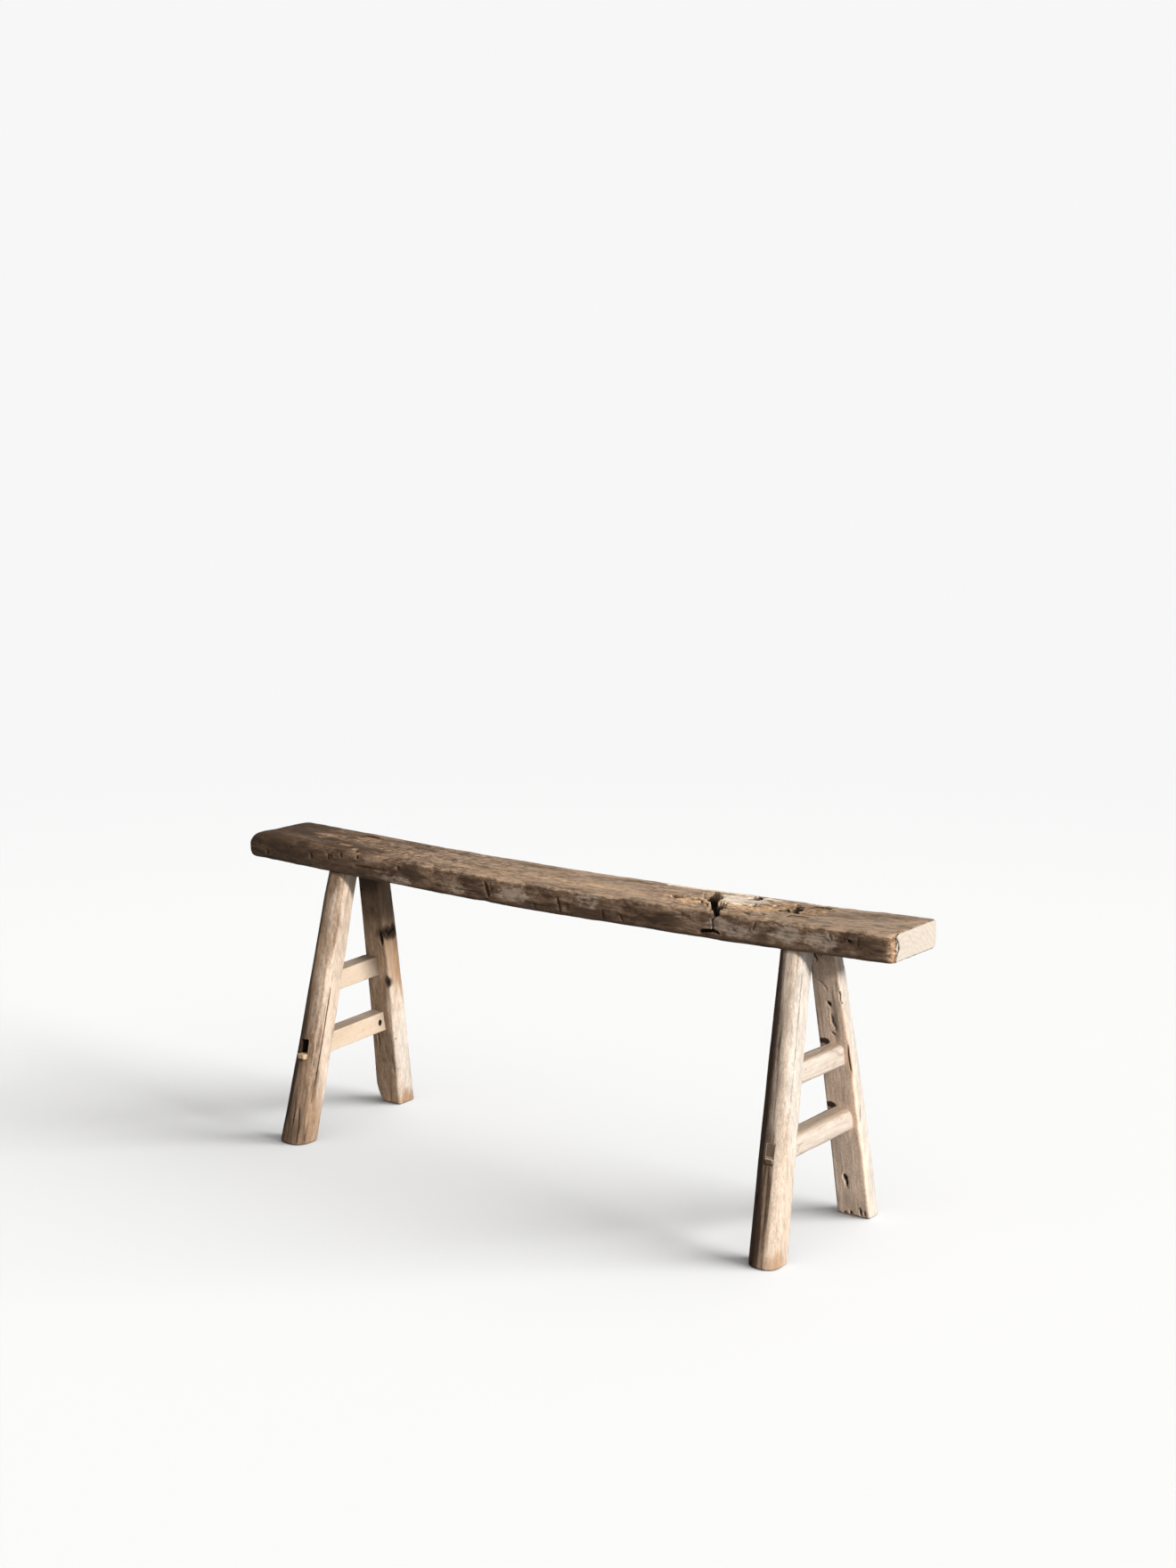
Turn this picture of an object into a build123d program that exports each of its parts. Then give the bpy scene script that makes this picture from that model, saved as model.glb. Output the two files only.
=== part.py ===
from build123d import *

import math
import os
from dataclasses import dataclass

# An old village bench: a sagging plank on four raked legs, tied in pairs by two rungs at each end.
# Every joint is a real one. The legs are tenoned right through the plank. The lower rungs pass
# through the legs and are wedged from beneath, and the upper rungs end blind inside them.
#
# Millimetres. +X runs along the plank, -Y is the front, +Z is up, and the floor is Z = 0.

# The plank. Its ends stand at SEAT_HEIGHT, and its middle has sagged.
SEAT_HEIGHT = 500.0
SEAT_LENGTH = 1246.0
SEAT_WIDTH = 128.0
SEAT_THICKNESS = 44.0
SEAT_SAG = 11.0
SEAT_EDGE_RADIUS = 8.0
LEFT_CORNER_RADIUS = 24.0
RIGHT_CORNER_RADIUS = 9.0

# The legs. Their inner faces lean together as they rise: the gap between a pair is FOOT_GAP on the
# floor and TOP_GAP at SHOULDER_HEIGHT, where the top's width and depth are measured too.
SHOULDER_HEIGHT = SEAT_HEIGHT - SEAT_THICKNESS
FOOT_GAP = 231.0
TOP_GAP = 50.0
RAKE = (FOOT_GAP - TOP_GAP) / 2 / SHOULDER_HEIGHT
FOOT_DEPTH = 42.0
TOP_DEPTH = 33.0
BLANK_TOP = SEAT_HEIGHT - SEAT_THICKNESS / 2
OUTER_ROUND = 0.4  # radius of a leg's two outer corners, as a share of its width
INNER_RADIUS = 3.0
FOOT_CHAMFER = 2.0

# The legs' tenons, which end flush with the top of the plank.
LEG_TENON_LENGTH = 30.0
LEG_TENON_WIDTH = 16.0

# The rungs' tenons. A through mortise holds its rung's tenon with a wedge beneath it.
RUNG_TENON_THICKNESS = 15.0
BLIND_TENON_HEIGHT = 24.0
BLIND_TENON_LENGTH = 20.0
THROUGH_TENON_HEIGHT = 22.0
THROUGH_MORTISE_HEIGHT = 32.0
MORTISE_WIDTH = 16.0
RUNG_WEDGE_WIDTH = 15.0
RUNG_WEDGE_THICK_END = THROUGH_MORTISE_HEIGHT - THROUGH_TENON_HEIGHT
RUNG_WEDGE_THIN_END = 5.0
RUNG_WEDGE_LENGTH = 30.0
TENON_RECESS = 20.0  # the front left tenon stops halfway through its leg
WEDGE_PROUD = 8.0  # and its wedge stands out of it
FLUSH_RECESS = 2.5
REACH = 400.0  # longer than any rung, for stock that is cut back to its legs

# The nail driven slantwise through the lower left rung into its back leg, below a cut pocket.
NAIL_RADIUS = 1.5
NAIL_LENGTH = 36.0
NAIL_SLANT = 30.0  # degrees between the nail and the rung
NAIL_START = 14.0  # from the leg's inner face to where the nail's axis leaves the rung's side
POCKET_RADIUS = 2.75
POCKET_DEPTH = 9.0


@dataclass
class Leg:
    """A leg: side is -1 at the front and 1 at the back, and its middle and width run along X."""

    side: int
    foot_x: float
    foot_width: float
    top_x: float
    top_width: float

    def at(self, z, foot, top):
        return foot + (top - foot) * z / SHOULDER_HEIGHT

    def x(self, z):
        return self.at(z, self.foot_x, self.top_x)

    def width(self, z):
        return self.at(z, self.foot_width, self.top_width)

    def depth(self, z):
        return self.at(z, FOOT_DEPTH, TOP_DEPTH)

    def inner_y(self, z):
        return self.side * (FOOT_GAP / 2 - RAKE * z)


@dataclass
class Rung:
    """A rung: which end of the bench it ties, its middle height, its section and its middles in X."""

    end: str
    z: float
    thickness: float
    height: float
    radius: float
    front_x: float
    back_x: float
    through: bool

    def front(self):
        return LEGS["leg_front_" + self.end]

    def back(self):
        return LEGS["leg_back_" + self.end]


LEGS = {
    "leg_front_left": Leg(-1, -455.0, 56.0, -430.0, 45.0),
    "leg_back_left": Leg(1, -469.0, 53.0, -434.0, 46.0),
    "leg_front_right": Leg(-1, 468.0, 50.0, 451.0, 44.0),
    "leg_back_right": Leg(1, 470.0, 58.0, 451.0, 46.0),
}
RUNGS = {
    "rung_lower_left": Rung("left", 159.0, 28.0, 34.0, 1.5, -449.0, -463.5, True),
    "rung_upper_left": Rung("left", 263.0, 29.0, 33.0, 1.5, -446.0, -458.5, False),
    "rung_lower_right": Rung("right", 163.0, 38.0, 35.0, 9.0, 462.5, 463.5, True),
    "rung_upper_right": Rung("right", 268.0, 31.0, 34.0, 7.0, 459.0, 462.0, False),
}


def seat_curve(height):
    """The plank's long curve, as an arc that starts and ends at a height and dips in the middle."""
    half = SEAT_LENGTH / 2
    return ThreePointArc((-half, height), (0, height - SEAT_SAG), (half, height))


def seat_blank():
    """The plank before its mortises are cut."""
    with BuildPart() as blank:
        with BuildSketch(Plane.XZ):
            with BuildLine():
                top = seat_curve(SEAT_HEIGHT)
                bottom = seat_curve(SHOULDER_HEIGHT)
                Line(top @ 0, bottom @ 0)
                Line(top @ 1, bottom @ 1)
            make_face()
        extrude(amount=SEAT_WIDTH / 2, both=True)
        fillet(blank.edges().filter_by(Axis.Z).group_by(Axis.X)[0], LEFT_CORNER_RADIUS)
        fillet(blank.edges().filter_by(Axis.Z).group_by(Axis.X)[-1], RIGHT_CORNER_RADIUS)
        broad_faces = blank.faces().sort_by(SortBy.AREA)[-2:]
        fillet(broad_faces.edges(), SEAT_EDGE_RADIUS)
    return blank.part


def leg_section(leg, z):
    """A leg's section at a height: flat towards its partner, and rounded on the outside."""
    inner = leg.inner_y(z)
    middle = inner + leg.side * leg.depth(z) / 2
    with BuildSketch(Plane.XY.offset(z)) as section:
        with Locations((leg.x(z), middle)):
            Rectangle(leg.width(z), leg.depth(z))
        outer_corners = section.vertices().group_by(Axis.Y)[-1 if leg.side > 0 else 0]
        fillet(outer_corners, OUTER_ROUND * leg.width(z))
        inner_corners = section.vertices().group_by(Axis.Y)[0 if leg.side > 0 else -1]
        fillet(inner_corners, INNER_RADIUS)
    return section.sketch


def leg_blank(leg):
    """A leg without tenon or mortises, which runs up into the plank's thickness."""
    with BuildPart() as blank:
        add(leg_section(leg, 0))
        add(leg_section(leg, BLANK_TOP))
        loft()
        chamfer(blank.faces().sort_by(Axis.Z)[0].edges(), FOOT_CHAMFER)
    return blank.part


def leg_tenon(leg, plank):
    """A leg's tenon, which leans with the leg and fills its mortise from the plank's face to face."""
    with BuildPart() as tenon:
        for z in (SHOULDER_HEIGHT - 2 * SEAT_SAG, SEAT_HEIGHT + SEAT_SAG):
            with BuildSketch(Plane.XY.offset(z)):
                with Locations((leg.x(z), leg.inner_y(z) + leg.side * TOP_DEPTH / 2)):
                    Rectangle(LEG_TENON_LENGTH, LEG_TENON_WIDTH)
        loft()
        add(plank, mode=Mode.INTERSECT)
    return tenon.part


def parallel_to_leg(side, depth):
    """The plane at a depth behind a leg's inner face, facing away from the opposite leg."""
    return Plane(origin=(0, side * (FOOT_GAP / 2 + depth), 0), z_dir=(0, side, RAKE))


def rung_plane(rung):
    """The plane across the middle of a rung, whose normal points to the back leg."""
    span = 2 * rung.back().inner_y(rung.z)
    shift = rung.back_x - rung.front_x
    middle = ((rung.front_x + rung.back_x) / 2, 0, rung.z)
    return Plane(origin=middle, x_dir=(span, -shift, 0), z_dir=(shift, span, 0))


def rung_bar(rung, width, height, raised, front_depth, back_depth, radius=0.0):
    """A bar along a rung, cut off at the given depths behind the two legs' inner faces."""
    with BuildPart() as bar:
        with BuildSketch(rung_plane(rung)):
            with Locations((0, raised)):
                if radius:
                    RectangleRounded(width, height, radius)
                else:
                    Rectangle(width, height)
        extrude(amount=REACH / 2, both=True)
        split(bisect_by=parallel_to_leg(-1, front_depth), keep=Keep.BOTTOM)
        split(bisect_by=parallel_to_leg(1, back_depth), keep=Keep.BOTTOM)
    return bar.part


def tenon_recess(rung, leg):
    """How far a through tenon stops short of its leg's outer face."""
    return TENON_RECESS if leg is LEGS["leg_front_left"] else FLUSH_RECESS


def rung_tenon(rung):
    """Both tenons of a rung, as one bar that the rung's body thickens between the legs."""
    if not rung.through:
        ends = (BLIND_TENON_LENGTH, BLIND_TENON_LENGTH)
        return rung_bar(rung, RUNG_TENON_THICKNESS, BLIND_TENON_HEIGHT, 0, *ends)
    legs = (rung.front(), rung.back())
    ends = [leg.depth(rung.z) - tenon_recess(rung, leg) for leg in legs]
    raised = (THROUGH_MORTISE_HEIGHT - THROUGH_TENON_HEIGHT) / 2
    return rung_bar(rung, RUNG_TENON_THICKNESS, THROUGH_TENON_HEIGHT, raised, *ends)


def rung_mortise(rung):
    """What a rung's tenons and wedges take out of its two legs."""
    if rung.through:
        return rung_bar(rung, MORTISE_WIDTH, THROUGH_MORTISE_HEIGHT, 0, REACH / 4, REACH / 4)
    ends = (BLIND_TENON_LENGTH, BLIND_TENON_LENGTH)
    return rung_bar(rung, RUNG_TENON_THICKNESS, BLIND_TENON_HEIGHT, 0, *ends)


def rung_body(rung):
    """A rung between its legs, with its tenons."""
    with BuildPart() as body:
        add(rung_bar(rung, rung.thickness, rung.height, 0, 0, 0, rung.radius))
        add(rung_tenon(rung))
    return body.part


def rung_wedge(rung, leg):
    """The wedge under a through tenon, which lies on the mortise's floor, thick end outwards."""
    proud = WEDGE_PROUD if leg is LEGS["leg_front_left"] else -FLUSH_RECESS
    bottom = -THROUGH_MORTISE_HEIGHT / 2
    outer = abs(leg.inner_y(rung.z + bottom)) + leg.depth(rung.z) + proud
    inner = outer - RUNG_WEDGE_LENGTH
    across = rung_plane(rung)
    along_rung = Plane(origin=across.origin, x_dir=leg.side * across.z_dir, z_dir=-leg.side * across.x_dir)
    with BuildPart() as wedge:
        with BuildSketch(along_rung):
            with BuildLine():
                Polyline(
                    (inner, bottom),
                    (outer, bottom),
                    (outer, bottom + RUNG_WEDGE_THICK_END),
                    (inner, bottom + RUNG_WEDGE_THIN_END),
                    close=True,
                )
            make_face()
        extrude(amount=RUNG_WEDGE_WIDTH / 2, both=True)
    return wedge.part


def nail_plane(rung):
    """The plane where the nail's axis leaves the rung's outer side, facing into the back leg."""
    across = rung_plane(rung)
    along = across.z_dir
    outward = across.x_dir
    start_y = rung.back().inner_y(rung.z) - NAIL_START
    start = across.origin + along * (start_y / along.Y) + outward * rung.thickness / 2
    slant = math.radians(NAIL_SLANT)
    return Plane(origin=start, z_dir=along * math.cos(slant) - outward * math.sin(slant))


def nail_shape(rung, radius, start, end):
    """A round bar on the nail's axis, between two distances from the rung's side."""
    with BuildPart() as bar:
        with BuildSketch(nail_plane(rung).offset(start)):
            Circle(radius)
        extrude(amount=end - start)
    return bar.part


def finish(piece, name):
    """Labels a finished piece and writes its file."""
    piece.part.label = name
    export_step(piece.part, f"parts/{name}.step")


os.makedirs("parts", exist_ok=True)
plank = seat_blank()
tenons = {name: leg_tenon(leg, plank) for name, leg in LEGS.items()}

with BuildPart() as seat_plank:
    add(plank)
    for tenon in tenons.values():
        add(tenon, mode=Mode.SUBTRACT)
finish(seat_plank, "seat_plank")

nailed_rung = RUNGS["rung_lower_left"]
with BuildPart() as rung_nail:
    add(nail_shape(nailed_rung, NAIL_RADIUS, POCKET_DEPTH, NAIL_LENGTH))
finish(rung_nail, "rung_nail")

for name, leg in LEGS.items():
    with BuildPart() as shaped_leg:
        add(leg_blank(leg))
        add(plank, mode=Mode.SUBTRACT)
        add(tenons[name])
        for rung in RUNGS.values():
            if leg in (rung.front(), rung.back()):
                add(rung_mortise(rung), mode=Mode.SUBTRACT)
        if leg is nailed_rung.back():
            add(rung_nail.part, mode=Mode.SUBTRACT)
    finish(shaped_leg, name)

for name, rung in RUNGS.items():
    with BuildPart() as shaped_rung:
        add(rung_body(rung))
        if rung is nailed_rung:
            add(nail_shape(rung, POCKET_RADIUS, -POCKET_RADIUS * 2, POCKET_DEPTH), mode=Mode.SUBTRACT)
            add(rung_nail.part, mode=Mode.SUBTRACT)
    finish(shaped_rung, name)
    if rung.through:
        for place, leg in (("front", rung.front()), ("back", rung.back())):
            with BuildPart() as wedge:
                add(rung_wedge(rung, leg))
            finish(wedge, f"rung_wedge_{place}_{rung.end}")
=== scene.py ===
"""An old village bench of weathered wood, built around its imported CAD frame.

Shapes are worked out in millimetres, in the frame's own axes, and become metres in make_mesh.
+X runs along the plank, -Y is the front and the floor is Z = 0.
"""

import math
from dataclasses import dataclass

import bpy
import numpy as np
from mathutils import Matrix, Vector


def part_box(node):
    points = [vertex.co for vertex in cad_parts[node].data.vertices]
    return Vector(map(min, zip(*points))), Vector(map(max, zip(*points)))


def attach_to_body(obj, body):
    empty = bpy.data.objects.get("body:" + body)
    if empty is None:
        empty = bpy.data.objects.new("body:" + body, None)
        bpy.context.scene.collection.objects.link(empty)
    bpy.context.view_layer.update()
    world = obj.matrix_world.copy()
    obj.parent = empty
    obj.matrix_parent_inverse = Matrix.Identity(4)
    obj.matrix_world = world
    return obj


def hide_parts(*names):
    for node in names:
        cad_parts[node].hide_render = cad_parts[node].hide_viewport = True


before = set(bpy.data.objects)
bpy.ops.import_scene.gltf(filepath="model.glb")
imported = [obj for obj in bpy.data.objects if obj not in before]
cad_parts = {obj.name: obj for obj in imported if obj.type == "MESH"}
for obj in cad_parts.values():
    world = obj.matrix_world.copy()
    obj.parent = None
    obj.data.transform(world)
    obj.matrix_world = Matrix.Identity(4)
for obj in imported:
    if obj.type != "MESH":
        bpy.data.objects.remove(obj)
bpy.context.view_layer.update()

MM = 0.001
COARSE = 1.0

# ---------------------------------------------------------------------------
# Sizes from the frame
# ---------------------------------------------------------------------------

SEAT_LOW, SEAT_HIGH = (np.array(corner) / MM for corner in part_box("seat_plank"))
HALF_LENGTH = SEAT_HIGH[0]
HALF_WIDTH = SEAT_HIGH[1]
SEAT_THICKNESS = 44.0
SEAT_TOP = round(SEAT_HIGH[2])
SEAT_SAG = SEAT_TOP - SEAT_THICKNESS - round(SEAT_LOW[2])
SHOULDER = SEAT_TOP - SEAT_THICKNESS

FOOT_GAP = 231.0
TOP_GAP = 50.0
RAKE = (FOOT_GAP - TOP_GAP) / 2 / SHOULDER
FOOT_DEPTH = 42.0
TOP_DEPTH = 33.0
LEG_TENON = (30.0, 16.0)
MORTISE_WIDTH = 16.0
MORTISE_HEIGHT = 32.0


@dataclass
class Leg:
    """A leg: side is -1 at the front and 1 at the back. bow moves its middle along X."""

    side: int
    foot_x: float
    foot_width: float
    top_x: float
    top_width: float
    bow: float
    seed: int

    def x(self, z):
        share = z / SHOULDER
        return self.foot_x + (self.top_x - self.foot_x) * share + self.bow * np.sin(np.pi * share)

    def width(self, z):
        return self.foot_width + (self.top_width - self.foot_width) * z / SHOULDER

    def depth(self, z):
        return FOOT_DEPTH + (TOP_DEPTH - FOOT_DEPTH) * z / SHOULDER

    def inner(self, z):
        return FOOT_GAP / 2 - RAKE * z


@dataclass
class Rung:
    """A rung: its middle height, thickness, height, corner radius and middles in X at its legs."""

    end: str
    z: float
    thickness: float
    height: float
    radius: float
    front_x: float
    back_x: float
    through: bool
    seed: int

    def slope(self):
        return (self.back_x - self.front_x) / 2 / (FOOT_GAP / 2 - RAKE * self.z)

    def x(self, y):
        return (self.front_x + self.back_x) / 2 + self.slope() * y


LEGS = {
    "leg_front_left": Leg(-1, -455.0, 56.0, -430.0, 45.0, 1.5, 11),
    "leg_back_left": Leg(1, -469.0, 53.0, -434.0, 46.0, 2.0, 12),
    "leg_front_right": Leg(-1, 468.0, 50.0, 451.0, 44.0, -1.0, 13),
    "leg_back_right": Leg(1, 470.0, 58.0, 451.0, 46.0, 3.0, 14),
}
RUNGS = {
    "rung_lower_left": Rung("left", 159.0, 28.0, 34.0, 1.5, -449.0, -463.5, True, 21),
    "rung_upper_left": Rung("left", 263.0, 29.0, 33.0, 1.5, -446.0, -458.5, False, 22),
    "rung_lower_right": Rung("right", 163.0, 38.0, 35.0, 11.0, 462.5, 463.5, True, 23),
    "rung_upper_right": Rung("right", 268.0, 31.0, 34.0, 8.0, 459.0, 462.0, False, 24),
}

# ---------------------------------------------------------------------------
# Noise and distances, all on arrays of points (n, 3) in millimetres
# ---------------------------------------------------------------------------


def lattice(corner, seed):
    """A fixed random value from -1 to 1 for each whole-numbered lattice corner."""
    x, y, z = (corner[:, i] for i in range(3))
    mixed = (x * 374761393 + y * 668265263 + z * 1440662683 + seed * 1274126177) & 0xFFFFFFFF
    mixed = ((mixed ^ (mixed >> 13)) * 1274126177) & 0xFFFFFFFF
    mixed = ((mixed ^ (mixed >> 16)) * 2246822519) & 0xFFFFFFFF
    return (mixed ^ (mixed >> 15)) / 0x7FFFFFFF - 1.0


def value_noise(points, seed):
    """Smooth noise from -1 to 1 with features one unit wide."""
    base = np.floor(points).astype(np.int64)
    part = points - base
    part = part * part * (3 - 2 * part)
    total = np.zeros(len(points))
    for bits in range(8):
        step = np.array([bits & 1, bits >> 1 & 1, bits >> 2 & 1])
        weight = np.prod(np.where(step, part, 1 - part), axis=1)
        total += weight * lattice(base + step, seed)
    return total


def fractal(points, size, seed, octaves=3):
    """Noise whose largest features are size millimetres wide, one size for each axis if given three."""
    total = np.zeros(len(points))
    for octave in range(octaves):
        total += value_noise(points / np.array(size) * 2**octave, seed + octave) / 2**octave
    return total / 1.6


def smooth(low, high, value):
    """A smooth step from 0 at low to 1 at high."""
    share = np.clip((value - low) / (high - low), 0, 1)
    return share * share * (3 - 2 * share)


def path_distance(points, path):
    """The distance of each point from a path of straight runs, and how far along the path it is, 0 to 1."""
    path = np.array(path, float)
    lengths = np.linalg.norm(np.diff(path, axis=0), axis=1)
    start = np.concatenate([[0], np.cumsum(lengths)])
    best = np.full(len(points), np.inf)
    along = np.zeros(len(points))
    for i, length in enumerate(lengths):
        run = path[i + 1] - path[i]
        share = np.clip((points - path[i]) @ run / length**2, 0, 1)
        distance = np.linalg.norm(points - path[i] - share[:, None] * run, axis=1)
        nearer = distance < best
        best = np.where(nearer, distance, best)
        along = np.where(nearer, (start[i] + share * length) / start[-1], along)
    return best, along


@dataclass
class Cut:
    """A crack, nick or hollow along a path: depth is negative for a ridge, and wall is its walls' share."""

    path: list
    width: float
    depth: float
    ragged: float = 0.35
    wall: float = 0.9
    taper: bool = True
    pit: float = 1.0
    bare: float = 0.0
    sand: float = 0.0

    def strength(self, points, seed):
        """How deep each point lies in the cut, from 0 to 1."""
        wander = np.stack([fractal(points, 8.0, seed + i, 4) for i in range(3)], axis=1)
        distance, along = path_distance(points + wander * self.width * self.ragged * 2, self.path)
        reach = self.width * (np.sqrt(np.clip(4 * along * (1 - along), 0.02, 1)) if self.taper else 1.0)
        return smooth(0, self.wall, 1 - distance / reach)


@dataclass
class Patch:
    """A patch of colour: its middle, its reach along each axis, and the layer that it adds to."""

    layer: str
    middle: tuple
    reach: tuple
    strength: float = 1.0
    ragged: float = 0.5

    def cover(self, points, seed, fibre):
        offset = (points - np.array(self.middle)) / np.array(self.reach)
        distance = np.linalg.norm(offset, axis=1) + self.ragged * fractal(points, fibre, seed, 4)
        return self.strength * smooth(1.4, 0.3, distance)


# ---------------------------------------------------------------------------
# Ring meshes: a stack of closed outlines with a pole at each end
# ---------------------------------------------------------------------------

LAYERS = ("pit", "bare", "sand", "stain", "pale", "worn", "end")


def rounded_ring(corners, radii, arc_points, edge_points):
    """Points round a four-cornered outline, for a stack of outlines at once.

    corners is (rings, 4, 2), counter-clockwise. radii is (rings, 4). arc_points and edge_points
    give the number of points on each corner and on the edge that follows it.
    """
    onward = np.roll(corners, -1, axis=1) - corners
    onward /= np.linalg.norm(onward, axis=2, keepdims=True)
    after = np.stack([onward[..., 1], -onward[..., 0]], axis=2)  # outward normal of the edge after
    before = np.roll(after, 1, axis=1)
    cosine = np.sum(before * after, axis=2, keepdims=True)
    centre = corners - (before + after) * radii[..., None] / (1 + cosine)
    angle = np.arccos(np.clip(cosine, -1, 1))
    parts = []
    for i in range(4):
        turn = np.linspace(0, 1, arc_points[i])[None, :, None]
        bend = angle[:, i, None]
        normal = (
            np.sin((1 - turn) * bend) * before[:, i, None] + np.sin(turn * bend) * after[:, i, None]
        ) / np.sin(bend)
        arc = centre[:, i, None] + radii[:, i, None, None] * normal
        j = (i + 1) % 4
        next_start = centre[:, j, None] + radii[:, j, None, None] * before[:, j, None]
        share = (np.arange(1, edge_points[i] + 1) / (edge_points[i] + 1))[None, :, None]
        parts += [arc, arc[:, -1:] + (next_start - arc[:, -1:]) * share]
    return np.concatenate(parts, axis=1)


def with_caps(rings, cap_rings=6):
    """The rings with both ends closed by rings that shrink to their middles."""
    def cap(ring):
        middle = ring.mean(axis=0)
        scales = np.linspace(1, 0, cap_rings + 1)[1:-1]
        return np.stack([middle + (ring - middle) * scale for scale in scales])

    return np.concatenate([cap(rings[0])[::-1], rings, cap(rings[-1])])


def ring_faces(count, size):
    """Quads between neighbouring rings, and triangles round the two poles."""
    i, j = np.meshgrid(np.arange(count - 1), np.arange(size), indexing="ij")
    k = (j + 1) % size
    quads = np.stack([i * size + j, i * size + k, (i + 1) * size + k, (i + 1) * size + j], axis=-1)
    low_pole, high_pole = count * size, count * size + 1
    j = np.arange(size)
    k = (j + 1) % size
    last = (count - 1) * size
    low = np.stack([k, j, np.full(size, low_pole)], axis=-1)
    high = np.stack([last + j, last + k, np.full(size, high_pole)], axis=-1)
    return quads.reshape(-1, 4), np.concatenate([low, high])


def grid_normals(vertices, quads):
    """Outward unit normals at the vertices."""
    a, b, c, d = (vertices[quads[:, i]] for i in range(4))
    face = np.cross(c - a, d - b)
    normals = np.zeros_like(vertices)
    for i in range(4):
        np.add.at(normals, quads[:, i], face)
    lengths = np.linalg.norm(normals, axis=1, keepdims=True)
    return normals / np.maximum(lengths, 1e-9)


@dataclass
class Shape:
    """A closed mesh in millimetres with its colour layers."""

    vertices: np.ndarray
    quads: np.ndarray
    triangles: np.ndarray
    normals: np.ndarray
    layers: dict

    @staticmethod
    def of_rings(rings):
        count, size = rings.shape[:2]
        poles = np.stack([rings[0].mean(axis=0), rings[-1].mean(axis=0)])
        vertices = np.concatenate([rings.reshape(-1, 3), poles])
        quads, triangles = ring_faces(count, size)
        normals = grid_normals(vertices, quads)
        normals[-2] = normals[:size].mean(axis=0)
        normals[-1] = normals[-2 - size:-2].mean(axis=0)
        layers = {name: np.zeros(len(vertices)) for name in LAYERS}
        return Shape(vertices, quads, triangles, normals, layers)

    def carve(self, cuts, seed):
        """Cuts into the surface along its normals, and notes each cut's colours."""
        depth = np.zeros(len(self.vertices))
        for number, cut in enumerate(cuts):
            strength = cut.strength(self.vertices, seed + 7 * number)
            depth = np.maximum(depth, strength * cut.depth) if cut.depth > 0 else depth
            if cut.depth < 0:
                depth = depth + strength * cut.depth
            self.add("pit", np.sqrt(strength) * cut.pit)
            self.add("bare", strength * cut.bare)
            self.add("sand", strength * cut.sand)
        return depth

    def add(self, layer, amount):
        self.layers[layer] = np.clip(np.maximum(self.layers[layer], amount), 0, 1)

    def paint(self, patches, points, seed, fibre):
        """Lays patches on, whose ragged edges follow the fibre: its feature size along each axis."""
        for number, patch in enumerate(patches):
            self.add(patch.layer, patch.cover(points, seed + 5 * number, fibre))


def make_mesh(name, shape, material):
    """The shape as a Blender object, in metres, with its layers as attributes."""
    faces = [tuple(quad) for quad in shape.quads.tolist()]
    faces += [tuple(triangle) for triangle in shape.triangles.tolist()]
    mesh = bpy.data.meshes.new(name)
    mesh.from_pydata((shape.vertices * MM).tolist(), [], faces)
    for layer, values in shape.layers.items():
        attribute = mesh.attributes.new(layer, "FLOAT", "POINT")
        attribute.data.foreach_set("value", values.astype(np.float32))
    mesh.update()
    piece = bpy.data.objects.new(name, mesh)
    bpy.context.scene.collection.objects.link(piece)
    mesh.materials.append(material)
    mesh.polygons.foreach_set("use_smooth", [True] * len(mesh.polygons))
    return piece


def cut_out(piece, cutters):
    """Takes cutters out of a piece, and paints the cuts' walls nearly black: painted shade inside the holes."""
    dark = bpy.data.materials["painted_shade_in_cuts"]
    piece.data.materials.append(dark)
    for cutter in cutters:
        cutter.data.materials.clear()
        cutter.data.materials.append(piece.data.materials[0])
        cutter.data.materials.append(dark)
        cutter.data.polygons.foreach_set("material_index", [1] * len(cutter.data.polygons))
        modifier = piece.modifiers.new("cut", "BOOLEAN")
        modifier.operation = "DIFFERENCE"
        modifier.solver = "MANIFOLD"
        modifier.object = cutter
    shaped = bpy.data.meshes.new_from_object(piece.evaluated_get(bpy.context.evaluated_depsgraph_get()))
    piece.modifiers.clear()
    piece.data = shaped
    for cutter in cutters:
        bpy.data.objects.remove(cutter)
    shaped.set_sharp_from_angle(angle=math.radians(55))


def box_cutter(low, high, place):
    """A cutter between two corners, each of whose corners place moves to its spot."""
    corners = [(x, y, z) for x in (low[0], high[0]) for y in (low[1], high[1]) for z in (low[2], high[2])]
    faces = [(0, 1, 3, 2), (4, 6, 7, 5), (0, 4, 5, 1), (2, 3, 7, 6), (0, 2, 6, 4), (1, 5, 7, 3)]
    origin = np.array(place(0, 0, 0))
    if np.linalg.det([np.array(place(*axis)) - origin for axis in np.eye(3)]) < 0:
        faces = [face[::-1] for face in faces]  # place mirrors the box, so its faces turn over
    mesh = bpy.data.meshes.new("cutter")
    mesh.from_pydata([tuple(np.array(place(*corner)) * MM) for corner in corners], [], faces)
    cutter = bpy.data.objects.new("cutter", mesh)
    bpy.context.scene.collection.objects.link(cutter)
    return cutter


def attach(piece, node):
    """The piece stands for its CAD node and rides with the bench's one body."""
    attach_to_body(piece, "root")
    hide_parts(node)


def spaced(stops, spacing):
    """Positions through the stops, with the spacing that is given for each run between them."""
    runs = []
    for low, high, step in zip(stops[:-1], stops[1:], spacing):
        count = max(2, round(abs(high - low) / step / COARSE))
        runs.append(np.linspace(low, high, count, endpoint=False))
    return np.concatenate(runs + [[stops[-1]]])


# ---------------------------------------------------------------------------
# The plank
# ---------------------------------------------------------------------------

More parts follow.
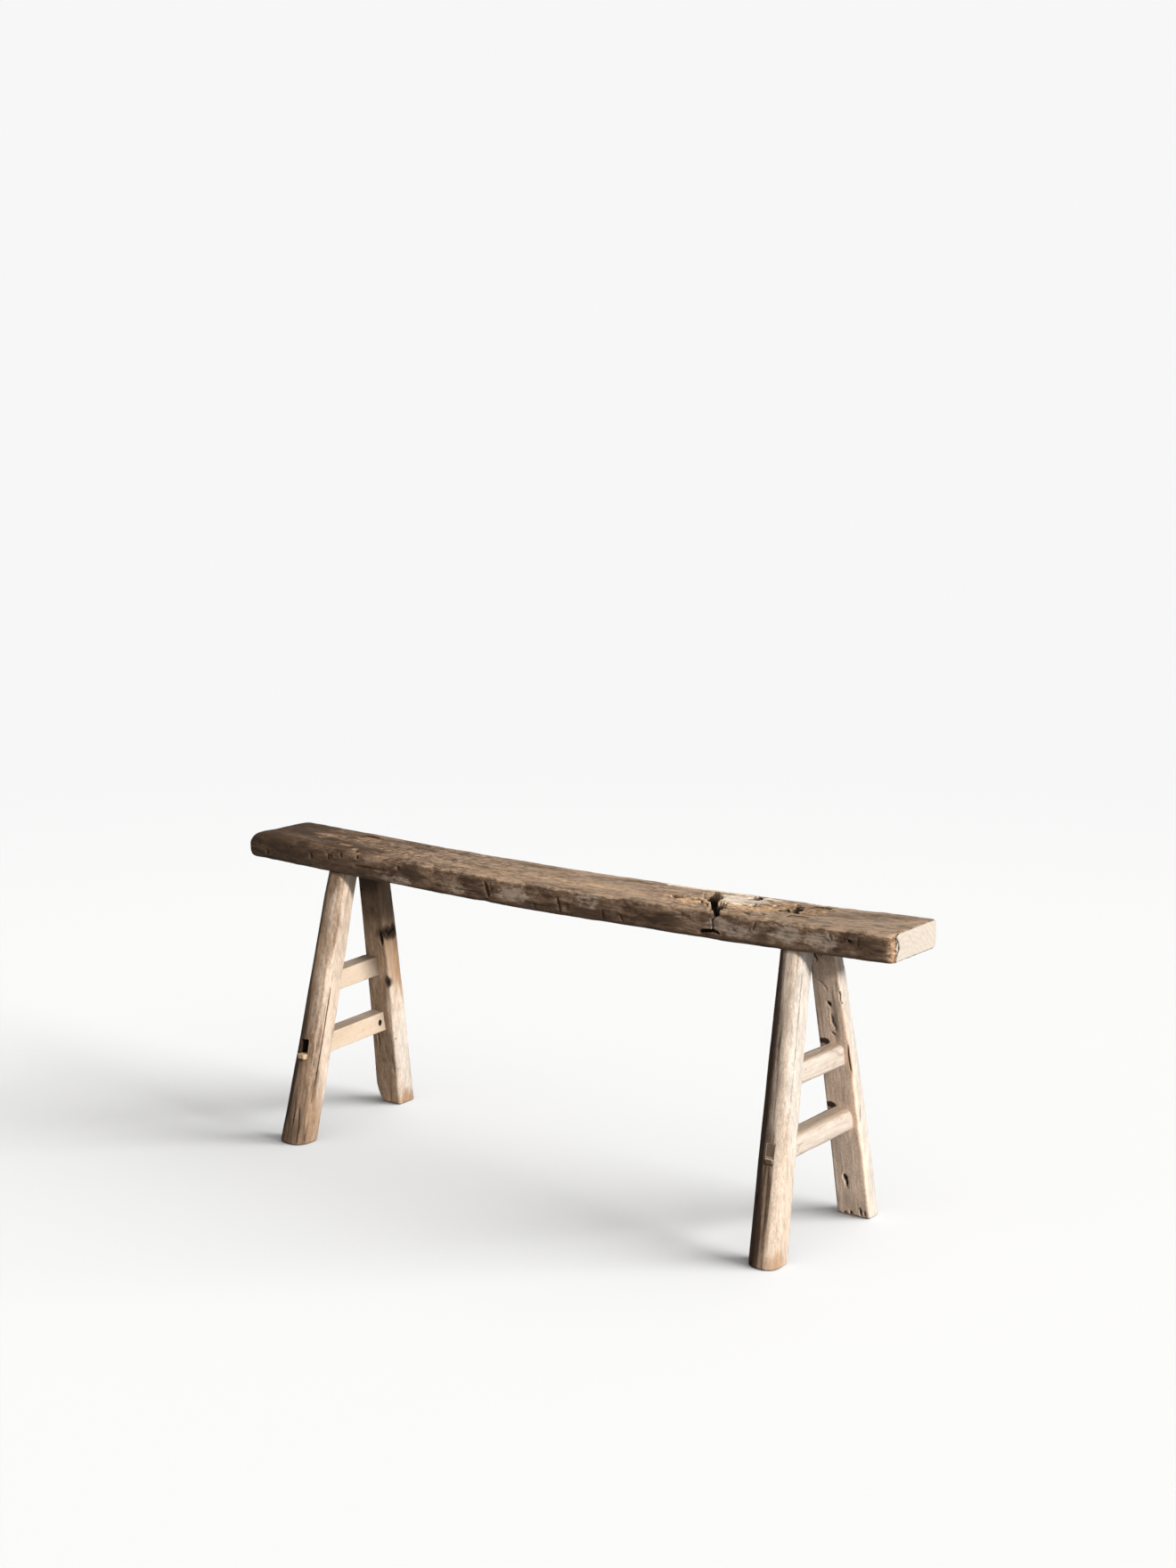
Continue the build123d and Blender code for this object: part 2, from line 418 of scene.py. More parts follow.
PLANK_TOP_ROUND = 13.0  # the worn front-top edge
PLANK_SEED = 3
LEFT_FRONT_ROUND = 10.0  # the left end's corners, seen from above
LEFT_BACK_ROUND = 30.0
LEFT_UNDER_ROUND = 14.0
RIGHT_FRONT_ROUND = 13.0
SAWN_ROUND = 3.0


def plank_top(x):
    return SEAT_TOP - SEAT_SAG * (1 - (np.asarray(x) / HALF_LENGTH) ** 2)


def on_top(x, y):
    """A point on the plank's top."""
    return (x, y, float(plank_top(x)))


def on_front(x, below):
    """A point on the plank's front face, a distance below its top edge."""
    return (x, -HALF_WIDTH, float(plank_top(x)) - below)


def corner_inset(distance, radius):
    """How far a rounded corner draws in at a distance from the end."""
    short = np.clip(radius - distance, 0, radius)
    return radius - np.sqrt(radius**2 - short**2)


def plank_rings():
    """The plank's outlines from its left end to its right end."""
    near_left = -HALF_LENGTH + np.array([0, 0.3, 1.0, 2.2, 4.0, 6.5, 9.5, 13, 17, 21])
    middle = spaced([-598, -430, 225, 345, 470, 612], [3.2, 2.3, 1.25, 1.5, 2.3])
    near_right = HALF_LENGTH - np.array([9.5, 7.5, 5.8, 4.3, 3.0, 1.9, 1.0, 0.4, 0.1, 0])
    x = np.concatenate([near_left, middle, near_right])
    from_left = x + HALF_LENGTH
    from_right = HALF_LENGTH - x
    sawn = corner_inset(from_right, SAWN_ROUND)
    top = plank_top(x) - corner_inset(from_left, 34.0) * 0.58 - sawn
    bottom = plank_top(x) - SEAT_THICKNESS + corner_inset(from_left, LEFT_UNDER_ROUND) + sawn
    front_round = corner_inset(from_left, LEFT_FRONT_ROUND) + corner_inset(from_right, RIGHT_FRONT_ROUND)
    back_round = corner_inset(from_left, LEFT_BACK_ROUND) + sawn
    front = -HALF_WIDTH + front_round
    back = HALF_WIDTH - back_round
    corners = np.stack(
        [
            np.stack([front, bottom], axis=1),
            np.stack([back, bottom], axis=1),
            np.stack([back, top], axis=1),
            np.stack([front, top], axis=1),
        ],
        axis=1,
    )
    room = (top - bottom) * 0.42
    radii = np.stack([np.minimum(radius, room) for radius in (7.0, 6.0, 8.0, PLANK_TOP_ROUND)], axis=1)
    arcs = [max(3, round(n / COARSE)) for n in (6, 4, 6, 11)]
    edges = [max(3, round(n / COARSE)) for n in (22, 10, 58, 17)]
    outline = rounded_ring(corners, radii, arcs, edges)
    along = np.broadcast_to(x[:, None, None], outline.shape[:2] + (1,))
    return np.concatenate([along, outline], axis=2)


def plank_cuts():
    """The rotted hollows, cracks, nicks and holes, from the left end to the right."""
    top, front = on_top, on_front
    hollows = [
        Cut([top(258, 34), top(268, 20), top(279, 6)], 13, 22, 0.3, 0.35, taper=False),
        Cut([top(286, 22), top(276, 12)], 8, 14, 0.35, 0.4),
        Cut([top(280, 5), top(292, -10)], 6, 12, 0.4, 0.5, taper=False),
        Cut([top(296, -14), top(308, -32), top(318, -46)], 13, 24, 0.35, 0.4, taper=False),
        Cut([top(298, -3), top(314, -18)], 8, 14, 0.4, 0.5),
        Cut([top(320, -50), top(323, -61)], 9, 15, 0.4, 0.5, taper=False),
        Cut([front(322, 2), front(321, 16), front(323, 28), front(322, 34)], 2.6, 5, 0.25, 0.9, pit=0.5, sand=0.6),
        Cut([front(292, 34), front(303, 33), front(312, 31), front(326, 31), front(336, 34)], 3.4, 10, 0.3, 0.6),
        Cut([top(248, 1), top(266, -12), top(281, -22), top(308, -46)], 3.4, 5, 0.5, 0.9, pit=0.8),
        Cut([top(310, -47), top(322, -50), top(333, -51)], 3.5, 5, 0.4, 0.9, pit=0.8),
        Cut([top(325, 32), top(331, 40), top(338, 48)], 11, 14, 0.3, 0.35),
        Cut([top(409, 30), top(417, 14), top(426, -6)], 12, 17, 0.3, 0.35),
        Cut([top(424, 0), top(436, -9), top(449, -5)], 7, 12, 0.35, 0.4),
        Cut([top(411, 34), top(400, 40)], 5, 7, 0.4, 0.7),
        Cut([top(461, 30), top(476, 26)], 5, 7, 0.3, 0.7),
        Cut([top(433, 47), top(456, 44)], 2.6, 3.5, 0.4, 0.9, pit=0.7),
        Cut([top(214, -4), top(222, -10), top(231, -8)], 6, 8, 0.4, 0.6),
        Cut([top(345, 14), top(352, 4), top(362, 8)], 5, 6, 0.5, 0.7, pit=0.9),
        Cut([top(378, 22), top(388, 12)], 5, 6, 0.5, 0.7, pit=0.9),
        Cut([top(355, -43), top(372, -48), top(381, -56)], 2.4, 3, 0.4, 0.9, pit=0.8),
        Cut([top(386, -36), top(404, -50)], 2.2, 3, 0.4, 0.9, pit=0.8),
        Cut([top(414, -58), top(420, -61)], 2.4, 3, 0.3, 0.9, pit=0.8),
        Cut([top(469, -32), top(471, -31)], 2.6, 4, 0.3, 0.8),
        Cut([top(480, -19), top(484, -18)], 2.2, 3, 0.3, 0.8),
        Cut([top(497, -28), top(540, -34)], 1.8, 1.6, 0.5, 0.9, pit=0.6),
    ]
    hollows += [Cut([top(x, y), top(x + 1, y + 1)], 2.4, 3.5, 0.3, 0.8, taper=False) for x, y in SMALL_HOLES]
    nicks = [
        Cut([front(x, low), front(x + lean, high)], width, depth, 0.25, 0.9, pit=pit, bare=0.6 * bare)
        for x, low, high, lean, width, depth, pit, bare in NICKS
    ]
    chips = [
        Cut([top(-388, -56), top(-381, -58)], 4.5, 5, 0.4, 0.8),
        Cut([front(-377, 8), front(-376, 10)], 3, 4, 0.2, 0.8, taper=False),
        Cut([front(-384, 24), front(-348, 23), front(-312, 22)], 1.8, 1.2, 0.4, 0.9, pit=0.6),
        Cut([front(547, 17), front(553, 21)], 3.6, 4, 0.5, 0.8),
        Cut([front(541, 12), front(547, 19)], 2.0, 2, 0.5, 0.8, pit=0.7),
    ]
    x = HALF_LENGTH
    end_crack = Cut([(x, -57, 496), (x, -46, 484), (x, -45, 473), (x, -53, 458)], 3.0, 5, 0.4, 0.9, taper=False)
    end_check = Cut([(x, -20, 492), (x, -8, 478), (x, 4, 466)], 1.1, 1.5, 0.5, 0.9, pit=0.35)
    return hollows + nicks + chips + [end_crack, end_check]


# Worm holes and pores on the top: X and Y.
SMALL_HOLES = [(-124, 21), (-39, -16), (-19, -9), (-478, -38), (-300, 8), (160, 18), (452, 10), (372, 2)]

# Nicks across the front face: X at the top, where each starts and ends below the top edge, its lean
# along X, width, depth (a ridge where negative), how dark it is and how bare.
NICKS = [
    (-118, 8, 34, 10, 2.6, -0.8, 0.0, 0.41),
    (-110, 9, 35, 12, 5, 3.2, 0.68, 0.0),
    (-98, 12, 26, 6, 3, 1.6, 0.42, 0.0),
    (28, 13, 36, 6, 1.8, -0.6, 0.0, 0.44),
    (34, 14, 37, 8, 4, 2.6, 0.68, 0.0),
    (56, 20, 38, -2, 2.6, 1.2, 0.34, 0.0),
    (121, 26, 38, 3, 3, 1.8, 0.51, 0.0),
    (148, 24, 38, 8, 1.6, -0.6, 0.0, 0.39),
    (154, 25, 38, 7, 2.4, 1.4, 0.51, 0.0),
    (-10, 30, 38, 2, 3.6, 1.6, 0.42, 0.0),
    (269, 3, 15, -3, 1.7, 1.6, 0.59, 0.11),
    (-185, 9, 16, 2, 1.6, -0.6, 0.0, 0.39),
    (-200, 7, 22, 0, 1.5, -0.6, 0.0, 0.33),
    (-328, 7, 24, 2, 1.6, -0.7, 0.0, 0.39),
    (-323, 9, 20, 1, 1.6, 1.2, 0.42, 0.0),
    (-291, 8, 21, -2, 1.5, -0.6, 0.0, 0.39),
    (-288, 9, 17, 1, 3.2, 3.0, 0.77, 0.0),
    (-440, 11, 22, 1, 3.2, 2.8, 0.85, 0.0),
    (-446, 9, 20, 1, 1.8, -0.7, 0.0, 0.6),
    (-434, 10, 21, 2, 2.2, 2.0, 0.75, 0.0),
    (-414, 6, 16, 5, 3.0, 2.8, 0.85, 0.0),
    (-410, 3, 12, 3, 2.2, -0.8, 0.0, 0.9),
    (-478, 16, 28, 1, 3.0, 2.4, 0.75, 0.0),
    (-484, 15, 26, 1, 1.6, -0.6, 0.0, 0.5),
    (-525, 12, 18, 5, 2.4, 1.8, 0.6, 0.0),
    (-560, 16, 27, -2, 2.0, -0.6, 0.0, 0.35),
    (-579, 26, 36, 1, 2.6, 2.0, 0.6, 0.22),
    (-600, 10, 22, 2, 2.2, 1.6, 0.5, 0.0),
    (398, 2, 20, -7, 1.7, 1.8, 0.68, 0.11),
    (484, 5, 12, 3, 1.6, 1.6, 0.59, 0.11),
    (515, 1, 21, 9, 1.9, 2.0, 0.68, 0.11),
    (565, 8, 26, 1, 3, 1.0, 0.34, 0.0),
]


def plank_patches():
    """Where the plank's colour changes: bare wood, sandy rot, pale streaks and dark stains."""
    top, front = on_top, on_front
    return [
        Patch("bare", top(318, 27), (46, 36, 30), 1.0, 0.3),
        Patch("bare", top(262, 56), (66, 10, 16), 1.0, 0.35),
        Patch("bare", top(205, 58), (50, 9, 12), 0.8, 0.5),
        Patch("bare", top(345, 46), (36, 9, 10), 0.8, 0.5),
        Patch("bare", top(430, 54), (45, 7, 10), 0.55, 0.5),
        Patch("sand", top(262, -20), (62, 26, 20), 0.95, 0.5),
        Patch("sand", top(350, -16), (62, 28, 20), 1.0, 0.45),
        Patch("sand", top(408, 10), (52, 30, 16), 1.0, 0.5),
        Patch("sand", top(345, -54), (26, 8, 12), 0.6, 0.4),
        Patch("sand", top(205, -6), (50, 12, 10), 0.6, 0.6),
        Patch("sand", top(452, 6), (26, 18, 10), 0.75, 0.6),
        Patch("sand", top(-490, 0), (44, 26, 10), 0.42, 0.9),
        Patch("sand", top(-392, -50), (8, 6, 8), 0.45, 0.4),
        Patch("sand", (HALF_LENGTH - 3, -HALF_WIDTH + 4, SEAT_TOP - 24), (9, 10, 40), 0.5, 0.1),
        Patch("sand", top(-95, -32), (90, 13, 10), 0.85, 0.8),
        Patch("sand", top(45, -20), (110, 12, 10), 0.8, 0.8),
        Patch("sand", top(150, -26), (40, 10, 10), 0.6, 0.8),
        Patch("sand", top(-420, 10), (60, 26, 10), 0.36, 0.8),
        Patch("sand", top(-300, -20), (90, 20, 10), 0.4, 0.8),
        Patch("pit", top(272, 22), (12, 9, 10), 1.0, 0.5),
        Patch("pit", top(332, 41), (13, 13, 10), 1.0, 0.5),
        Patch("pit", top(418, 10), (15, 24, 10), 1.0, 0.5),
        Patch("pit", top(438, -8), (14, 8, 10), 1.0, 0.5),
        Patch("stain", top(-570, 0), (110, 90, 60), 0.7, 0.6),
        Patch("stain", top(-430, -40), (120, 26, 20), 0.6, 0.7),
        Patch("stain", front(-560, 22), (110, 34, 40), 0.9, 0.5),
        Patch("stain", front(-430, 26), (110, 30, 26), 0.55, 0.6),
        Patch("stain", top(-470, -25), (50, 18, 10), 0.6, 0.7),
        Patch("stain", top(-310, 30), (45, 14, 10), 0.55, 0.7),
        Patch("stain", top(-240, 42), (45, 12, 10), 0.5, 0.7),
        Patch("stain", top(-60, 38), (70, 10, 10), 0.45, 0.7),
        Patch("stain", top(120, 38), (60, 10, 10), 0.5, 0.7),
        Patch("stain", top(500, 4), (60, 26, 10), 0.45, 0.8),
        Patch("stain", top(570, 34), (45, 16, 10), 0.5, 0.8),
        Patch("stain", top(-440, 34), (50, 9, 10), 0.6, 0.6),
        Patch("stain", front(-500, 34), (90, 20, 13), 0.8, 0.5),
        Patch("stain", front(-255, 20), (32, 20, 14), 0.8, 0.6),
        Patch("stain", front(-120, 30), (40, 20, 12), 0.6, 0.6),
        Patch("stain", front(0, 34), (40, 20, 8), 0.8, 0.6),
        Patch("stain", front(90, 32), (46, 20, 9), 0.8, 0.6),
        Patch("stain", front(232, 24), (40, 20, 12), 0.75, 0.7),
        Patch("stain", front(395, 24), (34, 20, 16), 0.6, 0.6),
        Patch("stain", front(575, 18), (28, 20, 18), 0.6, 0.6),
        Patch("pale", front(-55, 24), (34, 20, 15), 0.75, 0.6),
        Patch("pale", front(95, 14), (28, 20, 10), 0.6, 0.6),
        Patch("pale", front(355, 22), (46, 20, 13), 0.75, 0.6),
        Patch("pale", front(448, 20), (26, 20, 16), 0.85, 0.6),
        Patch("pale", front(505, 22), (34, 20, 13), 0.85, 0.6),
        Patch("pale", front(-300, 36), (40, 20, 8), 0.6, 0.6),
        Patch("pale", front(-165, 30), (30, 20, 10), 0.5, 0.6),
    ]


def plank_shape():
    shape = Shape.of_rings(with_caps(plank_rings(), max(4, round(36 / COARSE))))
    points = shape.vertices
    shape.paint(plank_patches(), points, 300, (26, 12, 10))
    shape.layers["end"] = smooth(0.85, 0.99, shape.normals[:, 0]) * smooth(-55, -48, points[:, 1])
    trodden = smooth(0.35, 0.85, shape.normals[:, 2]) * (0.15 + 0.75 * smooth(-520, 0, points[:, 0]))
    shape.add("worn", trodden)
    # The plank turns darker towards the bottom: its lower front, back and ends, and its underside.
    shape.add("stain", 0.5 * smooth(-26, -42, points[:, 2] - plank_top(points[:, 0])))
    depth = shape.carve(plank_cuts(), 500)
    rot = shape.layers["sand"] * (1 - 0.8 * shape.layers["bare"])
    rot *= smooth(150, 215, points[:, 0]) * (points[:, 2] > SHOULDER + 15)
    crumbs = fractal(points, (9, 5, 5), 41, 4)
    crumble = 1.4 + 3.0 * crumbs + 2.0 * smooth(0.12, 0.5, fractal(points, (16, 5, 5), 45, 3))
    shape.add("pit", 0.75 * rot * smooth(0.05, 0.5, fractal(points, (16, 5, 5), 45, 3)))
    hewn = 1.3 * fractal(points, (220, 80, 70), PLANK_SEED)
    lumps = 0.9 * fractal(points, (34, 14, 12), PLANK_SEED + 10)
    grain = 0.35 * fractal(points, (70, 3.4, 3.4), PLANK_SEED + 20, 2)
    checks = smooth(0.9, 1.0, 1 - np.abs(fractal(points, (170, 15, 15), PLANK_SEED + 30, 2)))
    checks *= smooth(-0.1, 0.35, fractal(points, (90, 30, 30), PLANK_SEED + 40))
    away_from_end = 1 - shape.layers["end"]
    shape.add("pit", 0.55 * checks * away_from_end)
    total = hewn + lumps + grain - (0.9 * checks) * away_from_end - rot * np.clip(crumble, 0, 5) - depth
    shape.vertices = points + shape.normals * total[:, None]
    return shape


def tenon_middle(leg, z):
    """The middle of a leg's tenon at a height, in X and Y."""
    return leg.x(SHOULDER) + (leg.top_x - leg.foot_x) * (z - SHOULDER) / SHOULDER, leg.side * (
        leg.inner(z) + TOP_DEPTH / 2
    )


def plank(material):
    piece = make_mesh("plank", plank_shape(), material)
    gap = 0.6
    length, width = LEG_TENON[0] / 2 + gap, LEG_TENON[1] / 2 + gap
    cutters = []
    for leg in LEGS.values():
        def place(x, y, z, leg=leg):
            middle_x, middle_y = tenon_middle(leg, z)
            return middle_x + x, middle_y + y, z

        low, high = SHOULDER - 3 * SEAT_SAG, SEAT_TOP + SEAT_SAG
        cutters.append(box_cutter((-length, -width, low), (length, width, high), place))
    cut_out(piece, cutters)
    attach(piece, "seat_plank")


# ---------------------------------------------------------------------------
# The legs
# ---------------------------------------------------------------------------

FOOT_ROUND = 4.0


def leg_corners(leg, x, width, inner, outer):
    """A leg's outline at each height, counter-clockwise from above, starting with the lower Y."""
    low, high = (-outer, -inner) if leg.side < 0 else (inner, outer)
    left, right = x - width / 2, x + width / 2
    pairs = ((left, low), (right, low), (right, high), (left, high))
    return np.stack([np.stack([a, b], axis=1) for a, b in pairs], axis=1)


def leg_rings(leg):
    """A leg's outlines from its foot up to its shoulder, and then its tenon's up to the plank's top."""
    z = np.concatenate([[0, 0.4, 1.2, 2.4], spaced([4, SHOULDER - 3], [1.7]), [SHOULDER]])
    inset = corner_inset(z, FOOT_ROUND)
    if leg is LEGS["leg_back_left"]:
        worn_left = corner_inset(z, 44.0) * 0.5  # this foot's outer corner has worn round
    else:
        worn_left = 0
    width = leg.width(z) - 2 * inset - worn_left
    x = leg.x(z) + worn_left / 2
    inner = leg.inner(z) + inset
    outer = leg.inner(z) + leg.depth(z) - inset
    corners = leg_corners(leg, x, width, inner, outer)
    outer_radius = np.minimum(0.4 * width, 0.48 * (outer - inner) + 3)
    inner_radius = np.full(len(z), 3.0)
    pattern = (outer_radius, outer_radius, inner_radius, inner_radius)
    arcs, edges = (25, 25, 4, 4), (8, 15, 26, 15)
    if leg.side > 0:
        pattern, arcs, edges = pattern[2:] + pattern[:2], arcs[2:] + arcs[:2], edges[2:] + edges[:2]
    if leg is LEGS["leg_back_left"]:
        pattern = (inner_radius, inner_radius, outer_radius * 0.45, outer_radius)  # squarer on its +X side
    arcs = [max(3, round(n / COARSE)) for n in arcs]
    edges = [max(3, round(n / COARSE)) for n in edges]
    body = rounded_ring(corners, np.stack(pattern, axis=1), arcs, edges)
    body = np.concatenate([body, np.broadcast_to(z[:, None, None], body.shape[:2] + (1,))], axis=2)

    tenon_z = np.array([SHOULDER, SHOULDER + 10, SHOULDER + 20, SHOULDER + 30, SEAT_TOP - 0.8])
    middle = [tenon_middle(leg, height) for height in tenon_z]
    tenon_x = np.array([spot[0] for spot in middle])
    tenon_y = np.abs([spot[1] for spot in middle])
    half = LEG_TENON[1] / 2
    across = np.full(len(tenon_z), LEG_TENON[0])
    corners = leg_corners(leg, tenon_x, across, tenon_y - half, tenon_y + half)
    tenon = rounded_ring(corners, np.full((len(tenon_z), 4), 0.8), arcs, edges)
    tenon = np.concatenate([tenon, np.broadcast_to(tenon_z[:, None, None], tenon.shape[:2] + (1,))], axis=2)
    shoulder = [body[-1] + (tenon[0] - body[-1]) * share for share in (0.3, 0.6)]
    rings = np.concatenate([body, np.stack(shoulder), tenon])
    drop = rings[..., 2] - SHOULDER
    sag = plank_top(rings[..., 0]) - SEAT_TOP
    rings[..., 2] += sag * smooth(-60, 0, drop)
    return rings


def face_point(leg, z, across, behind):
    """A point on a leg: across is from -1 at its -X side to 1 at its +X side, behind its inner face."""
    return (leg.x(z) + across * leg.width(z) / 2, leg.side * (leg.inner(z) + behind), z)


def leg_cuts(name, leg):
    """Each leg's own cracks, knots and splits, from the top down."""
    def at(z, across, behind):
        return face_point(leg, z, across, behind)

    if name == "leg_front_left":
        return [
            Cut([at(452, 0.55, 26), at(415, 0.5, 27), at(372, 0.42, 30)], 1.6, 2.2, 0.35, 0.9, pit=0.8),
            Cut([at(345, 0.97, 25), at(262, 0.96, 25), at(190, 0.93, 25), at(120, 0.93, 26), at(70, 0.9, 28),
                 at(36, 0.72, 33)], 1.7, 2.4, 0.1, 0.9, pit=0.9),
            Cut([at(66, 0.35, 40), at(38, 0.5, 40), at(3, 0.56, 40)], 2.2, 3.0, 0.2, 0.9, pit=0.8),
            Cut([at(60, 0.05, 42), at(28, 0.12, 42)], 1.8, 2.0, 0.3, 0.9, pit=0.7),
            Cut([at(105, -0.15, 42), at(92, -0.12, 42)], 1.6, 2.0, 0.3, 0.9, pit=0.7),
            Cut([at(20, 0.9, 30), at(2, 0.86, 31)], 1.6, 2.0, 0.3, 0.9, pit=0.7),
        ]
    if name == "leg_back_left":
        return [
            Cut([at(334, 0.55, 0), at(322, 0.66, 0), at(300, 0.75, 0)], 4.5, 4.0, 0.5, 0.7),
            Cut([at(330, 1.0, 3), at(324, 1.0, 14), at(330, 1.0, 26)], 4.5, 4.5, 0.5, 0.7),
            Cut([at(326, 0.8, 0), at(322, 1.0, 2)], 4.0, 3.5, 0.5, 0.7),
            Cut([at(404, -0.85, 0), at(388, -0.9, 0)], 2.6, 3.0, 0.3, 0.8),
            Cut([at(246, 0.86, 0), at(236, 0.98, 0), at(222, 1.0, 4)], 3.2, 4.0, 0.4, 0.8),
            Cut([at(240, 0.7, 0), at(228, 0.86, 0)], 2.4, 2.6, 0.3, 0.8),
            Cut([at(128, 1.0, 4), at(127, 1.0, 4.6)], 1.8, 2.6, 0.1, 0.8, taper=False),
            Cut([at(140, -0.5, 0), at(118, -0.45, 0), at(96, -0.5, 0)], 1.8, 1.8, 0.4, 0.9, pit=0.7),
            Cut([at(70, 0.7, 0), at(58, 0.76, 0)], 2.2, 2.0, 0.4, 0.9, pit=0.7),
        ]
    if name == "leg_front_right":
        return [
            Cut([at(448, 0.93, 24), at(330, 0.92, 24), at(220, 0.92, 25), at(120, 0.9, 26), at(10, 0.88, 28)],
                1.5, 1.6, 0.25, 0.9, pit=0.55, taper=False),
            Cut([at(450, 0.6, 30), at(380, 0.56, 31), at(300, 0.56, 32)], 1.5, 1.2, 0.3, 0.9, pit=0.35),
            Cut([at(268, -0.7, 36), at(230, -0.68, 37)], 2.0, 2.4, 0.3, 0.9, pit=0.9, bare=0.0),
            Cut([at(104, -0.52, 38), at(84, -0.6, 37)], 2.6, 3.0, 0.3, 0.9),
            Cut([at(110, -0.62, 38), at(88, -0.68, 37)], 1.6, -0.9, 0.3, 0.9, pit=0.0, bare=0.7),
            Cut([at(10, -0.6, 40), at(0, -0.62, 40)], 3.0, 4.0, 0.5, 0.9),
        ]
    return [
        Cut([at(452, -0.5, 0), at(430, -0.52, 0), at(414, -0.4, 0)], 3.0, 4.0, 0.4, 0.8),
        Cut([at(452, -0.1, 0), at(422, 0.0, 0)], 2.2, 3.0, 0.4, 0.8),
        Cut([at(424, -0.92, 0), at(392, -0.88, 0)], 1.8, 2.4, 0.3, 0.9),
        Cut([at(386, -0.6, 0), at(382, -0.3, 0), at(370, 0.1, 0)], 1.8, 1.2, 0.4, 0.9, pit=0.6),
        Cut([at(372, 0.92, 0), at(352, 0.98, 0)], 3.6, 3.0, 0.5, 0.8),
        Cut([at(352, 0.02, 0), at(346, 0.14, 0)], 4.0, 2.6, 0.4, 0.7),
        Cut([at(334, 0.1, 0), at(316, 0.2, 0), at(306, 0.28, 0)], 3.6, 2.6, 0.5, 0.8, pit=0.7),
        Cut([at(306, -0.1, 0), at(298, 0.2, 0)], 2.6, 2.2, 0.5, 0.8, pit=0.7),
        Cut([at(292, 0.95, 0), at(262, 0.9, 0), at(240, 0.93, 0)], 2.6, 2.6, 0.4, 0.8, pit=0.7, sand=0.6),
        Cut([at(188, 1.0, 12), at(172, 1.0, 8), at(160, 1.0, 5)], 1.9, 3.0, 0.3, 0.9),
        Cut([at(70, -0.3, 0), at(58, -0.24, 0), at(48, -0.2, 0)], 3.6, 5.0, 0.3, 0.8),
        Cut([at(66, -0.5, 0), at(46, -0.5, 0)], 1.8, -1.0, 0.4, 0.9, pit=0.0, bare=0.6),
        Cut([at(6, -0.5, 0), at(0, -0.52, 0)], 3.4, 5.0, 0.4, 0.9),
        Cut([at(8, -0.1, 0), at(0, -0.12, 0)], 3.0, 4.0, 0.4, 0.9),
        Cut([at(18, 0.45, 0), at(0, 0.5, 0)], 2.4, 3.4, 0.4, 0.9),
        Cut([at(14, 0.7, 0), at(0, 0.74, 0)], 2.0, 3.0, 0.4, 0.9),
    ]


